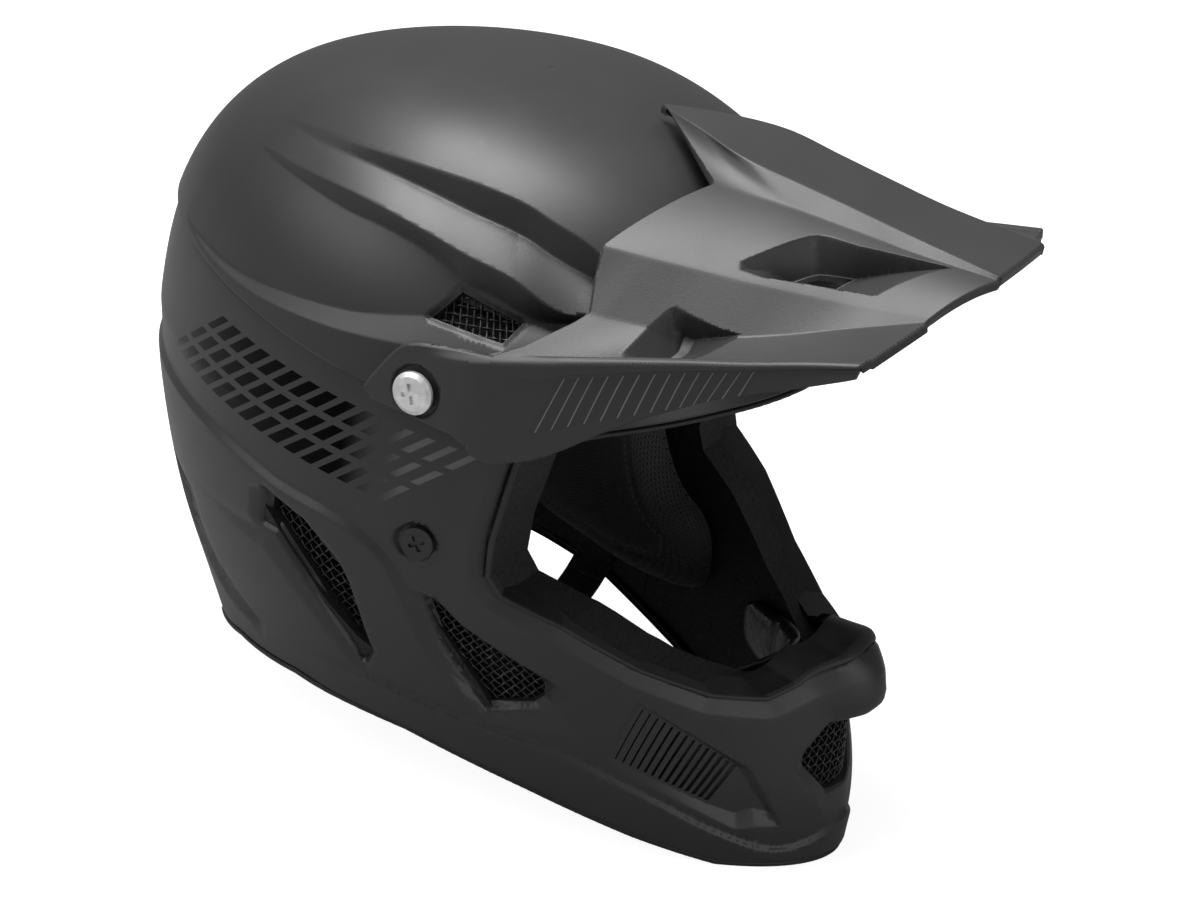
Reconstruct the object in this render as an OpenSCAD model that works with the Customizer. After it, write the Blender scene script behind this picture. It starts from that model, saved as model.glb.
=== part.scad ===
// Full face bicycle helmet: a two piece hard shell over foam liners, with a tilting visor, vent
// screens, comfort pads and a chin strap. The front looks along -Y, the wearer's left is +X.
// The lowest points of the bottom trim stand on z = 0, and x = 0 is the plane of symmetry.

/* [Shell] */
// Width of the shell across its widest part
shell_w = 244; // [236:1:252]
// Length of the dome from the brow to the back of the head
shell_l = 298; // [290:1:306]
// Height of the shell from the table to the top of the crown
shell_h = 275; // [268:1:282]
// Thickness of the hard shell
shell_t = 3; // [2.6:0.1:3.4]
// Depth of the longest step in the crown
gill_depth = 6; // [4:0.5:7]

/* [Visor] */
// Thickness of the visor's wall
visor_t = 2.6; // [2:0.1:3]
// Distance the front of the visor stands out past the chin bar
visor_reach = 15; // [11:1:18]
// Clearance between the side of the shell and the face of the visor arm that looks at it
arm_gap = 2; // [1.5:0.25:4]
// Depth of the vent pockets in the top of the visor
pocket_depth = 12; // [8:0.5:14]
// Depth of the scoops in the sides of the visor
scoop_depth = 8; // [5:0.5:9]

/* [Fastenings] */
// Radius of the visor screw's head
screw_head_r = 8; // [7:0.25:9]
// Radius of the screws' shanks
shank_r = 3; // [2.5:0.25:3.5]
// Radius of the low screw's head
low_head_r = 6.4; // [5.5:0.1:7]

/* [Lining] */
// Thickness of the foam liner at the sides of the head
foam_t = 31; // [28:0.5:33]
// Thickness of the comfort pad over the crown
crown_pad_t = 9; // [6:0.5:11]
// Thickness of the cheek pads
cheek_pad_t = 24; // [18:1:28]
// Height of the rubber bead round the eyeport and the bottom edge
bead_t = 2.4; // [2:0.1:3]

/* [Strap] */
// Width of the strap
strap_w = 18; // [15:0.5:18]
// Thickness of the strap
strap_t = 1.6; // [1.2:0.1:1.8]
// Radius of the rod that the strap rings are bent from
rod_r = 1.7; // [1.4:0.1:1.8]

/* [Hidden] */
kw = shell_w / 244;
kl = shell_l / 298;
kh = shell_h / 275;
// Shift along y that centres the helmet, and the reach of the widest section's centre
mid = 32.7;
centre_f = 5.6;
// Height above which the shell closes as a dome, and the rise of that dome
dome_z = 150;
dome_h = 125;
turn_count = 48;
gap = 0.3;
// Distance between the inner faces of the two visor arms
arm_span = shell_w + 2 * arm_gap;
// Extents that side view outlines run to, past the back, the front and the top
back_end = -170;
front_end = 240;
top_end = 320;
// Axis of the visor: its reach in front of the widest section and its height
axis_f = 38;
axis_z = lift(189);

// Smooth curve through [place, value] pairs, level outside them
function curve(t, keys) =
    let (last = len(keys) - 1, u = min(max(t, keys[0][0]), keys[last][0]),
         i = max([for (j = [0 : last - 1]) u >= keys[j][0] ? j : 0]),
         h = keys[i + 1][0] - keys[i][0], s = (u - keys[i][0]) / h, m = slope(keys, i),
         m0 = i > 0 ? (slope(keys, i - 1) + m) / 2 : m,
         m1 = i < last - 1 ? (slope(keys, i + 1) + m) / 2 : m)
    keys[i][1] * (1 + 2 * s) * pow(1 - s, 2) + h * m0 * s * pow(1 - s, 2)
    + keys[i + 1][1] * s * s * (3 - 2 * s) + h * m1 * s * s * (s - 1);
function slope(keys, i) = (keys[i + 1][1] - keys[i][1]) / (keys[i + 1][0] - keys[i][0]);

// Straight runs through [place, value] pairs
function run(t, keys) = lookup(t, keys);

// Height above the shell's widest part that follows the dome's rise
function lift(z) = z <= dome_z ? z : dome_z + (z - dome_z) * dome_h / 125;

// A place given as distance to the wearer's left, reach to the front and height
function spot(x, f, z) = [x * kw, mid - f * kl, z * kh];

// Plans of the outer skin against height: half width, reach behind and before the widest section
skin = [[[0, 84], [40, 99], [80, 113], [120, 120], [150, 122]],
    [[0, 90], [40, 109], [80, 128], [120, 142], [150, 149]],
    [[0, 188], [40, 187], [80, 180], [120, 166], [150, 149]],
    dome_h];
// The same for the room that the foam leaves for the head and the pads
foam_w = 122 - foam_t;
hollow = [[[0, foam_w - 10], [60, foam_w - 6], [150, foam_w - 2]],
    [[0, 72], [60, 92], [150, 112]],
    [[0, 158], [70, 158], [110, 140], [150, 112]],
    dome_h - foam_t];
front_power = [[0, 1.85], [75, 1.57], [150, 2.07], [275, 2.03]];

function cap(s, p) = pow(max(0, 1 - pow(s, p)), 1 / p);

// Point of a form at an angle from the front and a height, moved out along the plan by d
function at(form, a, h, d) =
    let (s = min(max((h - dome_z) / form[3], 0), 1), fore = cos(a) >= 0,
         n = fore ? curve(h, front_power) : 1.87,
         w = curve(h, form[0]) * cap(s, 3.1) + d,
         l = curve(h, form[fore ? 2 : 1]) * cap(s, fore ? 2.2 : 2.5) + d)
    spot(sign(sin(a)) * w * pow(abs(sin(a)), 2 / n),
         centre_f + sign(cos(a)) * l * pow(abs(cos(a)), 2 / n),
         h <= dome_z ? h : dome_z + (h - dome_z) * (form[3] + d) / form[3]);

// Half width of a form at a reach and a height under the dome, moved out by d
function wall(form, f, h, d = 0) =
    let (n = curve(h, front_power), l = curve(h, form[2]) + d)
    (curve(h, form[0]) + d) * pow(1 - pow((f - centre_f) / l, n), 1 / n);

// Lines that run round the shell, as heights against the angle from the front
seam_keys = [[0, 200], [20, 197], [40, 190], [55, 183], [66, 176], [90, 182], [111, 188],
    [136, 193], [180, 196]];
ledge_keys = [[0, 216], [50, 212], [66, 208], [84, 202], [104, 200], [128, 199], [180, 203]];
ledge_rise = [[0, 4], [50, 10], [66, 11], [84, 8], [104, 3.5], [180, 2]];
low_gill_keys = [[0, 236], [50, 228], [56, 228], [69, 234], [82, 239], [109, 243], [129, 240],
    [180, 238]];
low_gill_rise = [[0, 2], [56, 3], [70, 6], [100, 4], [129, 1.5], [180, 1.5]];
top_gill_keys = [[0, 250], [50, 247], [57, 251], [71, 256], [105, 256], [129, 250], [180, 247]];
top_gill_rise = [[0, 2], [30, 2], [50, 5], [57, 8], [75, 5], [91, 3], [180, 2]];
skirt_keys = [[0, 20], [10, 14], [23, 9], [34, 16], [50, 33], [57, 42], [81, 53], [180, 34]];
bevel_keys = [[0, 32], [40, 32], [57, 52], [64, 56], [68, 66], [77, 105], [84, 124], [108, 130],
    [180, 138]];

// Heights and steps of the shell's rows at one angle, from the bottom to the top
function rows(a) =
    let (skirt = curve(a, skirt_keys), low = curve(a, bevel_keys), seam = curve(a, seam_keys),
         ledge = curve(a, ledge_keys), gill = curve(a, low_gill_keys), top = curve(a, top_gill_keys),
         fold = 1.5 * run(a, [[75, 1], [90, 0]]), inset = 2 * run(a, [[56, 0], [70, 1]]),
         shelf = gill_depth * run(a, [[40, 0], [58, 1], [104, 0.6], [128, 0.4], [180, 0.35]]),
         low_step = gill_depth * run(a, [[42, 0], [56, 0.8], [75, 1], [100, 0.7], [129, 0]]),
         top_step = gill_depth * run(a, [[30, 0], [50, 0.8], [65, 1], [91, 0.7], [129, 0]]),
         start = asin((top - dome_z) / dome_h))
    concat([[-8, fold], [skirt - 1, fold], [skirt + 1, 0], [skirt + (low - skirt) * 0.36, 0],
            [skirt + (low - skirt) * 0.68, 0], [low - 1.5, 0], [low + 1.5, -inset]],
        [for (s = [0.28, 0.52, 0.76, 1]) [low + 1.5 + (seam - low - 1.5) * s, -inset]],
        [[ledge, 0], [ledge + run(a, ledge_rise), -shelf],
         [gill - run(a, low_gill_rise), -low_step], [gill, 0],
         [top - run(a, top_gill_rise), -top_step], [top, 0]],
        [for (s = [0.3, 0.6, 0.85]) [dome_z + dome_h * sin(start + (90 - start) * s), 0]]);

// Angle from the front of the column j of n, running from -180 to 180
function angle(j, n) = j * 360 / n - (j * 360 / n > 180 ? 360 : 0);

// Polyhedron whose faces are listed anticlockwise from outside
module solid(points, faces) {
    polyhedron(points, [for (f = faces) [for (k = [len(f) - 1 : -1 : 0]) f[k]]]);
}

// Closed solid from rings of points, drawn together to a point below and a point above
module stack(rings, foot, peak) {
    m = len(rings);
    n = len(rings[0]);
    points = concat([for (r = rings) each r], [foot, peak]);
    floor = [for (j = [0 : n - 1]) [(j + 1) % n, j, m * n]];
    sides = [for (i = [0 : m - 2]) for (j = [0 : n - 1])
        let (k = (j + 1) % n) each [[i * n + j, i * n + k, (i + 1) * n + k],
            [i * n + j, (i + 1) * n + k, (i + 1) * n + j]]];
    lid = [for (j = [0 : n - 1]) [(m - 1) * n + j, (m - 1) * n + (j + 1) % n, m * n + 1]];
    solid(points, concat(floor, sides, lid));
}

// The shell's outer form, moved in or out by d, from one of its rows to another
top_row = 19;
module skin_solid(d, first = 0, last = top_row) {
    table = [for (j = [0 : turn_count - 1]) rows(abs(angle(j, turn_count)))];
    stack([for (i = [first : last]) [for (j = [0 : turn_count - 1])
            at(skin, angle(j, turn_count), table[j][i][0], table[j][i][1] + d)]],
        spot(0, centre_f, first > 0 ? 10 * first : -8),
        spot(0, centre_f, last < top_row ? 20 * last : dome_z + dome_h + d));
}

// The room inside the foam, moved in or out by d
module hollow_solid(d) {
    heights = concat([-12, 20, 50, 80, 110, 135],
        [for (s = [0 : 0.2 : 0.81]) dome_z + hollow[3] * sin(90 * s)]);
    stack([for (h = heights) [for (j = [0 : 35]) at(hollow, angle(j, 36), h, d)]],
        spot(0, centre_f, -12), spot(0, centre_f, dome_z + hollow[3] + d));
}

// Side view outline, as [reach, height] pairs, pushed through the whole width
module side(points, wide = 400) {
    rotate([90, 0, 90]) linear_extrude(wide, center = true)
        polygon([for (p = points) [mid - p[0] * kl, p[1] * kh]]);
}

// Side view lines as [reach, height]: the joint between the two shells, running on as the brow
seam_line = [[back_end, 197], [-96, 193], [-44, 188], [13, 182], [74, 176], [100, 186], [130, 195],
    [152, 200], [front_end, 200]];
// The lower edge of the eyeport, from the cheek to the lip of the chin bar
port_line = [[front_end, 104], [184, 99], [181, 91], [173, 80], [165, 74], [147, 75], [123, 84],
    [96, 100], [74, 109], [69, 117], [69, 133]];
// The bottom edge, flat where the helmet stands at the nape and under the chin
base_line = [[back_end, 0], [-79, 0], [-70, 22], [-45, 32], [-10, 36], [40, 31], [88, 19], [130, 7],
    [160, 0], [front_end, 0]];

module above_seam(drop = 0) {
    side(concat([for (p = seam_line) p - [0, drop]], [[front_end, top_end], [back_end, top_end]]));
}

module eyeport(inset = 0) {
    rotate([90, 0, 90]) linear_extrude(400, center = true) offset(delta = -inset)
        polygon([for (p = concat([for (i = [4 : 8]) seam_line[i]], port_line))
            [mid - p[0] * kl, p[1] * kh]]);
}

module below_base(raise) {
    rotate([90, 0, 90]) linear_extrude(400, center = true) offset(delta = raise)
        polygon([for (p = concat(base_line, [[front_end, -40], [back_end, -40]]))
            [mid - p[0] * kl, p[1] * kh]]);
}

module both_sides() {
    children();
    mirror([1, 0, 0]) children();
}

// Puts children on the wearer's right of the shell, facing out, turned to the front by yaw
module on_skin(place, yaw, tilt) {
    translate(spot(place[0], place[1], place[2])) rotate([90 - tilt, 0, yaw - 90]) children();
}

// Each vent: its place on the shell, how it faces, and its outline
temple_vent = [[-110, 50, 217], 25, 40, [[-17, -2.5], [9, -7.5], [16, 2], [-9, 7.5]]];
rear_vent = [[-113, 0, 95], 5, -13,
    [[-25, 25], [-3, 21], [12, 9], [20, -7], [26, -28], [18, -23], [-4, -2], [-22, 13]]];
cheek_vent = [[-95, 72, 76], 30, -12,
    [[-27, 21], [-14, 16], [6, 5], [22, -5], [23, -14], [4, -21], [-19, 8]]];
mouth_vent = [[0, 188, 48], 90, 0, [[-24, 0], [-17, 13], [17, 13], [24, 0], [11, -15], [-11, -15]]];

// Straight cut through a vent's outline, from the depth below the shell to the height above it
module vent_cut(vent, depth, height = 16, spread = 1) {
    on_skin(vent[0], vent[1], vent[2]) translate([0, 0, -depth]) linear_extrude(depth + height)
        scale(spread) polygon(vent[3]);
}

// Flat screen of crossed wires inside a frame, filling a vent's outline
module screen(vent, pitch = 5.2, wire = 1.2) {
    on_skin(vent[0], vent[1], vent[2]) translate([0, 0, -3]) linear_extrude(0.9) {
        difference() {
            scale(0.96) polygon(vent[3]);
            scale(0.84) polygon(vent[3]);
        }
        intersection() {
            scale(0.95) polygon(vent[3]);
            rotate(38) for (turn = [0, 90], i = [-6 : 6])
                rotate(turn) translate([i * pitch, 0]) square([wire, 90], center = true);
        }
    }
}

// Slanted slots low on the sides of the chin bar
slot_count = 14;
module slots() {
    on_skin([-55, 143, 45], 55, -4) for (k = [0 : slot_count - 1]) hull() {
        translate([-24 + 3.46 * k, 23 - 1.7 * k, 0]) cube([1 + 0.07 * k, 1, 16], center = true);
        translate([-27 + 3.4 * k, -1 - 1.6 * k, 0]) cube([1 + 0.07 * k, 1, 16], center = true);
    }
}

// Places of the fastenings on the wearer's right
low_place = [-wall(skin, 43, 125, -2), 43, 125];
low_yaw = 11;

module visor_axis(from, to, r) {
    translate([from, mid - axis_f * kl, axis_z * kh]) rotate([0, 90, 0])
        cylinder(r = r, h = to - from, $fn = 48);
}

module low_axis(from, to, r) {
    on_skin(low_place, low_yaw, 0) translate([0, 0, from]) cylinder(r = r, h = to - from, $fn = 40);
}

module crown_shell() color("#3a3b3d") {
    difference() {
        intersection() {
            difference() {
                skin_solid(0, first = 9);
                skin_solid(-shell_t, first = 9);
            }
            above_seam();
        }
        both_sides() {
            vent_cut(temple_vent, 14);
            visor_axis(-140 * kw, -90 * kw, shank_r + 0.4);
        }
    }
}

module jaw_shell() color("#3a3b3d") {
    difference() {
        skin_solid(0, last = 11);
        skin_solid(-shell_t, last = 11);
        above_seam(gap);
        eyeport();
        below_base(bead_t + gap);
        both_sides() {
            vent_cut(rear_vent, 14);
            vent_cut(cheek_vent, 16);
            low_axis(-12, 12, shank_r + 0.4);
            slots();
        }
        vent_cut(mouth_vent, 22);
    }
}

// Foam between the shell and the room for the head
module foam(first, last) {
    difference() {
        skin_solid(-shell_t - gap, first, last);
        hollow_solid(0);
        eyeport();
        below_base(bead_t + gap);
        both_sides() {
            vent_cut(temple_vent, 14, spread = 1.1);
            vent_cut(rear_vent, 60, spread = 1.12);
            vent_cut(cheek_vent, 60, spread = 1.12);
            visor_axis(-130 * kw, -100 * kw, 8.4);
            low_axis(-18, 4, 7.4);
        }
        vent_cut(mouth_vent, 40, spread = 1.06);
    }
}

// Line along which the foam is parted, below the shells' joint
foam_line = [[back_end, 150], [20, 150], [64, 168], [74, 172], [100, 182], [152, 196], [front_end, 196]];

module crown_liner() color("#222324") {
    intersection() {
        foam(6, top_row);
        side(concat(foam_line, [[front_end, top_end], [back_end, top_end]]));
    }
}

module base_liner() color("#222324") {
    intersection() {
        foam(0, 11);
        side([[back_end, 149.6], [20, 149.6], [60, 165.5], [60, -20], [back_end, -20]]);
    }
}

module chin_liner() color("#222324") {
    intersection() {
        foam(0, 11);
        side([[60.4, -20], [60.4, 165.9], [74, 171.5], [front_end, 195], [front_end, -20]]);
    }
}

module eyeport_gasket() color("#141414") {
    intersection() {
        difference() {
            skin_solid(-0.8, 6, 12);
            skin_solid(-19, 6, 12);
        }
        difference() {
            eyeport(gap);
            eyeport(gap + bead_t);
        }
    }
}

module base_trim() color("#161616") {
    intersection() {
        difference() {
            skin_solid(0.8, last = 4);
            skin_solid(-16, last = 4);
        }
        difference() {
            below_base(bead_t);
            below_base(0);
        }
    }
}

module temple_screens() color("#1b1b1b") both_sides() screen(temple_vent);
module rear_screens() color("#1b1b1b") both_sides() screen(rear_vent);
module cheek_screens() color("#1b1b1b") both_sides() screen(cheek_vent);
module mouth_screen() color("#1b1b1b") screen(mouth_vent);

// Long lines of the visor's wearer's left half, each from the back to the front
tip_f = 192 + visor_reach;
centre = [[0, 54.5, 276], [0, 77, 276.6], [0, 98, 275.4], [0, 120, 272.8], [0, 142, 270.3],
    [0, 168, 267.3], [0, tip_f - 0.2, 264.4]];
crest = [[2.5, 57.5, 275.8], [13, 77, 276.2], [22.4, 98, 274.8], [22, 120, 272.2],
    [21, 142, 269.7], [21, 168, 266.7],
    [24, tip_f - 0.7, 264]];
crease = [[34, 95.5, 265.8], [33, 109, 265.5], [31, 124.1, 265.4], [29.3, 139.6, 264.6],
    [28, 155.1, 263.8], [26.3, 174, 262.7],
    [24.8, tip_f - 1, 263]];
edge = [[83, 77, 248.2], [79, 96, 248.4], [74, 114.5, 248.5], [69.4, 132.5, 248.6],
    [63.8, 150.5, 248.9], [58.6, 168.3, 249.5],
    [53, tip_f - 13.5, 252.1]];
fold = [[103, 68, 228], [98, 92, 229], [93, 112, 230], [87, 130, 232],
    [78, 148, 236.5], [67, 168, 243], [54.5, tip_f - 14.2, 251]];
shelf = [[126, 58, 208], [120, 80, 213.5], [114, 102, 220], [108, 126, 227],
    [103, 148, 233], [98, 168, 239], [94.5, tip_f - 21, 244]];
hem = [[127.5, 58, 172], [122, 80, 181], [116, 102, 193], [110, 124, 207],
    [105, 142, 218], [100, 165, 229], [96, tip_f - 22, 239]];
// The panel between crease and edge swells over its middle
swell_h = 2;
flank = [for (i = [0 : 6]) (crease[i] + edge[i]) / 2 + [0, 0, swell_h]];
half_lines = [centre, crest, crease, flank, edge, fold, shelf, hem];
// Each line from the left hem over the centre to the right hem
visor_lines = concat([for (i = [7 : -1 : 0]) half_lines[i]],
    [for (i = [1 : 7]) [for (p = half_lines[i]) [-p[0], p[1], p[2]]]]);

// The visor's chart: the way across of each line, and the way along of the stations
across = [0, 22, 38, 61, 84, 114, 138, 166];
stations = [0, 22, 44, 66, 88, 112, 142];

function line_at(line, v) = [for (k = [0 : 2]) curve(v, [for (i = [0 : 6]) [stations[i], line[i][k]]])];

// Point of the left half's surface
function facet_at(u, v) =
    let (i = max([for (k = [0 : 6]) u >= across[k] ? k : 0]),
        s = (u - across[i]) / (across[i + 1] - across[i]),
         p = (1 - s) * line_at(half_lines[i], v) + s * line_at(half_lines[i + 1], v))
    spot(p[0], p[1], lift(p[2]));

// The same, moved out by d
function visor_at(u, v, d) =
    facet_at(u, v) + d * unit(cross(
        facet_at(u - 2, v) - facet_at(u + 2, v),
        facet_at(u, v + 2) - facet_at(u, v - 2)));

function unit(v) = v / norm(v);

// Outward direction of a grid of points at row i and column j
function facing(g, i, j) =
    let (m = len(g) - 1, n = len(g[0]) - 1,
         u = g[min(i + 1, m)][j] - g[max(i - 1, 0)][j],
         v = g[i][min(j + 1, n)] - g[i][max(j - 1, 0)])
    unit(cross(u, v));

// Closed sheet between a grid of points and the same grid moved by depth against its facing
module sheet(g, depth) {
    m = len(g);
    n = len(g[0]);
    back = [for (i = [0 : m - 1]) [for (j = [0 : n - 1]) g[i][j] - depth * facing(g, i, j)]];
    block(g, back);
}

// Closed solid between two grids of points of one size
module block(front, back) {
    m = len(front);
    n = len(front[0]);
    s = m * n;
    points = concat([for (r = front) each r], [for (r = back) each r]);
    rim = concat([for (j = [0 : n - 2]) j], [for (i = [0 : m - 2]) i * n + n - 1],
        [for (j = [n - 1 : -1 : 1]) (m - 1) * n + j], [for (i = [m - 1 : -1 : 1]) i * n]);
    faces = concat(
        [for (i = [0 : m - 2]) for (j = [0 : n - 2]) let (a = i * n + j) each
            [[a, a + n + 1, a + 1], [a, a + n, a + n + 1],
                [s + a, s + a + 1, s + a + n + 1], [s + a, s + a + n + 1, s + a + n]]],
        [for (k = [0 : len(rim) - 1]) let (a = rim[k], b = rim[(k + 1) % len(rim)]) each
            [[a, b, s + b], [a, s + b, s + a]]]);
    solid(points, faces);
}

// Rear end of each arm in side view, round the screw
arm_outline = [[15.5, 181.5], [22.9, 195.5], [31, 205.5], [49, 209.7], [66.6, 212.2],
    [84, 214], [84, 183], [73.9, 178.8],
    [60.5, 176.2], [33, 178], [20, 179]];

// Pockets in the visor: outlines on its surface, and (way across, way along, share of the depth) of
// the floors, which rise to the surface at the front. All run anticlockwise seen from outside
top_outline = [[77, 56], [58, 64.5], [50, 71], [47, 79], [48, 91], [41, 127], [76, 115], [79.5, 80]];
top_floor = [[70, 71, 1], [62, 76, 1], [57, 80, 1], [55, 86, 1], [53, 95, 1],
    [43, 124, 0.05], [74, 113, 0.05], [75, 80, 1]];
scoop_outline = [[114, 38.5], [103, 43], [112.5, 74], [132, 69], [131, 44.5]];
scoop_floor = [[117, 52, 1], [110, 51, 1], [114, 72, 0.1], [129, 67, 0.1], [128, 52, 1]];
top_open = [[69, 74], [61, 78.5], [56, 94], [74, 90]];

function middle(list) = [for (k = [0 : 1]) [for (p = list) p[k]] * [for (p = list) 1] / len(list)];

// Tub between an outline a little above the surface and a floor, both grown by wall
module tub(outline, floor, depth, wall = 0) {
    c = middle(outline);
    function grown(p) = let (away = [p[0], p[1]] - c) [p[0], p[1]] + wall * away / norm(away);
    top = [for (p = outline) let (q = grown(p)) visor_at(q[0], q[1], wall > 0 ? -0.6 : 4)];
    low = [for (p = floor) let (q = grown(p)) visor_at(q[0], q[1], -depth * p[2] - wall)];
    m = middle(floor);
    share = [for (p = floor) p[2]] * [for (p = floor) 1] / len(floor);
    stack([low, top],
        visor_at(m[0], m[1], -depth * share - wall),
        visor_at(c[0], c[1], wall > 0 ? -0.6 : 4));
}

module visor() color("#454648") {
    difference() {
        union() {
            sheet([for (l = visor_lines) [for (p = l) spot(p[0], p[1], lift(p[2]))]], visor_t);
            both_sides() {
                translate([-arm_span / 2 - 1.8, 0, 0]) intersection() {
                    side([for (p = arm_outline) [p[0], lift(p[1])]], 3.6);
                    translate([-10, mid - 66 * kl, 0]) cube([20, 100, top_end + 80]);
                }
                tub(top_outline, top_floor, pocket_depth, visor_t);
                tub(scoop_outline, scoop_floor, scoop_depth, visor_t);
            }
        }
        both_sides() {
            visor_axis(-150, -110, shank_r + 0.05);
            tub(top_outline, top_floor, pocket_depth);
            tub(scoop_outline, scoop_floor, scoop_depth);
            stack([for (d = [-6, 4]) [for (p = top_open) visor_at(p[0], p[1], d - pocket_depth)]],
                visor_at(65, 84, -pocket_depth - 6),
                visor_at(65, 84, -pocket_depth + 4));
        }
    }
}

// Screw with a domed head and a cross slot, along x on the wearer's right
module visor_screw() {
    head = -arm_span / 2 - 3.6 - gap;
    translate([head, mid - axis_f * kl, axis_z * kh]) rotate([0, -90, 0]) difference() {
        union() {
            cylinder(r = screw_head_r, h = 1.4, $fn = 48);
            translate([0, 0, 1.4]) cylinder(r1 = screw_head_r, r2 = screw_head_r - 1.6, h = 1, $fn = 48);
            translate([0, 0, head + 105.9 * kw]) cylinder(r = shank_r, h = 1 - head - 105.9 * kw, $fn = 48);
        }
        for (turn = [20, 110]) rotate(turn) translate([0, 0, 2.4]) cube([8, 1.8, 2.4], center = true);
    }
}

module visor_screw_right() color("#d9dadb") visor_screw();
module visor_screw_left() color("#d9dadb") mirror([1, 0, 0]) visor_screw();

module visor_spacers() color("#202020") both_sides() difference() {
    visor_axis(-arm_span / 2 + gap, -119.9 * kw, shank_r + 3.5);
    visor_axis(-140 * kw, -100 * kw, shank_r + 0.05);
}

module visor_inserts() color("#b08d57") both_sides() difference() {
    visor_axis(-111.5 * kw, -104 * kw, 7);
    visor_axis(-140 * kw, -100 * kw, shank_r + 0.05);
}

module low_screws() color("#1a1a1a") both_sides() difference() {
    union() {
        low_axis(0.4, 2, low_head_r);
        low_axis(-13, 1, shank_r);
    }
    for (turn = [30, 120]) on_skin(low_place, low_yaw, 0) rotate(turn) translate([0, 0, 2.2])
        cube([6.5, 1.6, 2], center = true);
}

module low_inserts() color("#b08d57") both_sides() difference() {
    low_axis(-14, -5.5, 6.4);
    low_axis(-13.5, 4, shank_r + 0.05);
}

// Swell of a pad's face over its back, at parts u and v of its length and height
function swell(u, v) = pow(1 - pow(abs(2 * u - 1), 4), 0.6) * pow(1 - pow(abs(2 * v - 1), 4), 0.6);

// How deep a pad's seams press in: panels is the number of panels along the pad
function seam_dip(u, panels) = pow(abs(cos(180 * panels * u)), 24);

// Cushion lying on the foam between two angles, with its low and high edges as curves of 0 to 1
module cushion(from, to, low, high, thick, panels, cols, lines, seat = 3) {
    us = [for (i = [0 : cols]) i / cols];
    vs = [for (j = [0 : lines]) j / lines];
    function place(u, v, d) = at(hollow, from + (to - from) * u,
        curve(u, low) + (curve(u, high) - curve(u, low)) * v, d - seat);
    function rise(u, v) = 2 + (thick - 2) * swell(u, v) * (1 - 0.35 * seam_dip(u, panels));
    block([for (u = us) [for (v = vs) place(u, v, 0)]],
        [for (u = us) [for (v = vs) place(u, v, -rise(u, v))]]);
}

cheek_low = [[0, 52], [0.4, 46], [1, 58]];
cheek_high = [[0, 84], [0.2, 94], [0.34, 118], [0.46, 156], [0.7, 164], [1, 150]];

module cheek_pad() {
    cushion(50, 106, cheek_low, cheek_high, cheek_pad_t, 3, 22, 12);
}

module cheek_pad_left() color("#2b2b2c") cheek_pad();
module cheek_pad_right() color("#2b2b2c") mirror([1, 0, 0]) cheek_pad();

module neck_pad() color("#2b2b2c") {
    cushion(116, 244, [[0, 60], [0.5, 40], [1, 60]], [[0, 100], [0.5, 84], [1, 100]], 12, 4, 24, 6, 1.1);
}

module chin_pad() color("#1d1d1e") {
    cushion(-40, 40, [[0, 46], [0.5, 42], [1, 46]], [[0, 68], [0.5, 82], [1, 68]], 9, 3, 24, 6, 2);
}

// Comfort pad that caps the head, with ribs from front to back
module crown_pad() {
    n = 40;
    m = 8;
    function low(a) = 176 - 14 * (1 - cos(a)) / 2;
    function height(i, a) =
        dome_z + hollow[3] * sin(asin((low(a) - dome_z) / hollow[3]) * (1 - i / m) + 90 * i / m);
    function thick(i, a) = 2.5 + (crown_pad_t - 2.5) * pow(1 - pow(1 - (i + 0.3) / (m + 0.3), 6), 0.6)
        * (1 - 0.3 * pow(abs(cos(3 * a)), 12) * (1 - i / m));
    rings = [for (i = [0 : m - 1])
        [for (j = [0 : n - 1]) let (a = angle(j, n)) at(hollow, a, height(i, a), -2)]];
    inner = [for (i = [0 : m - 1]) [for (j = [0 : n - 1]) let (a = angle(j, n))
        at(hollow, a, height(i, a), -2 - thick(i, a))]];
    points = concat([for (r = rings) each r], [for (r = inner) each r],
        [spot(0, centre_f, dome_z + hollow[3] - 2), spot(0, centre_f, dome_z + hollow[3] - 2 - crown_pad_t)]);
    s = m * n;
    color("#2b2b2c") solid(points, concat(
        [for (i = [0 : m - 2], j = [0 : n - 1]) let (a = i * n + j, b = i * n + (j + 1) % n) each
            [[a, b, b + n], [a, b + n, a + n], [s + a, s + b + n, s + b], [s + a, s + a + n, s + b + n]]],
        [for (j = [0 : n - 1]) let (a = (m - 1) * n + j, b = (m - 1) * n + (j + 1) % n, e = (j + 1) % n) each
            [[a, b, 2 * s], [s + a, 2 * s + 1, s + b], [j, s + j, s + e], [j, s + e, e]]]));
}

// Reach of the straps and their rings below the jaw
strap_f = 32;
// Strap edges at the reach f, from its anchor by the low screw down the cheek to the neck
strap_z = [125, 112, 99, 86, 73, 59, 45];
function strap_run(side_sign, ends) =
    concat([for (z = strap_z) let (f = strap_f + (z - 45) * 0.1375)
        [for (e = [1, -1]) let (g = f + e * strap_w / 2) spot(side_sign * wall(hollow, g, z, -0.6), g, z)]],
        [for (p = ends) [for (e = [1, -1]) spot(side_sign * p[0], strap_f + e * strap_w / 2, p[1])]]);

// Bars of the two rings: their distance from the middle and their height
ring_x = [45, 40.4];
ring_z = 15;
loop_h = rod_r + 0.4;

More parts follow.
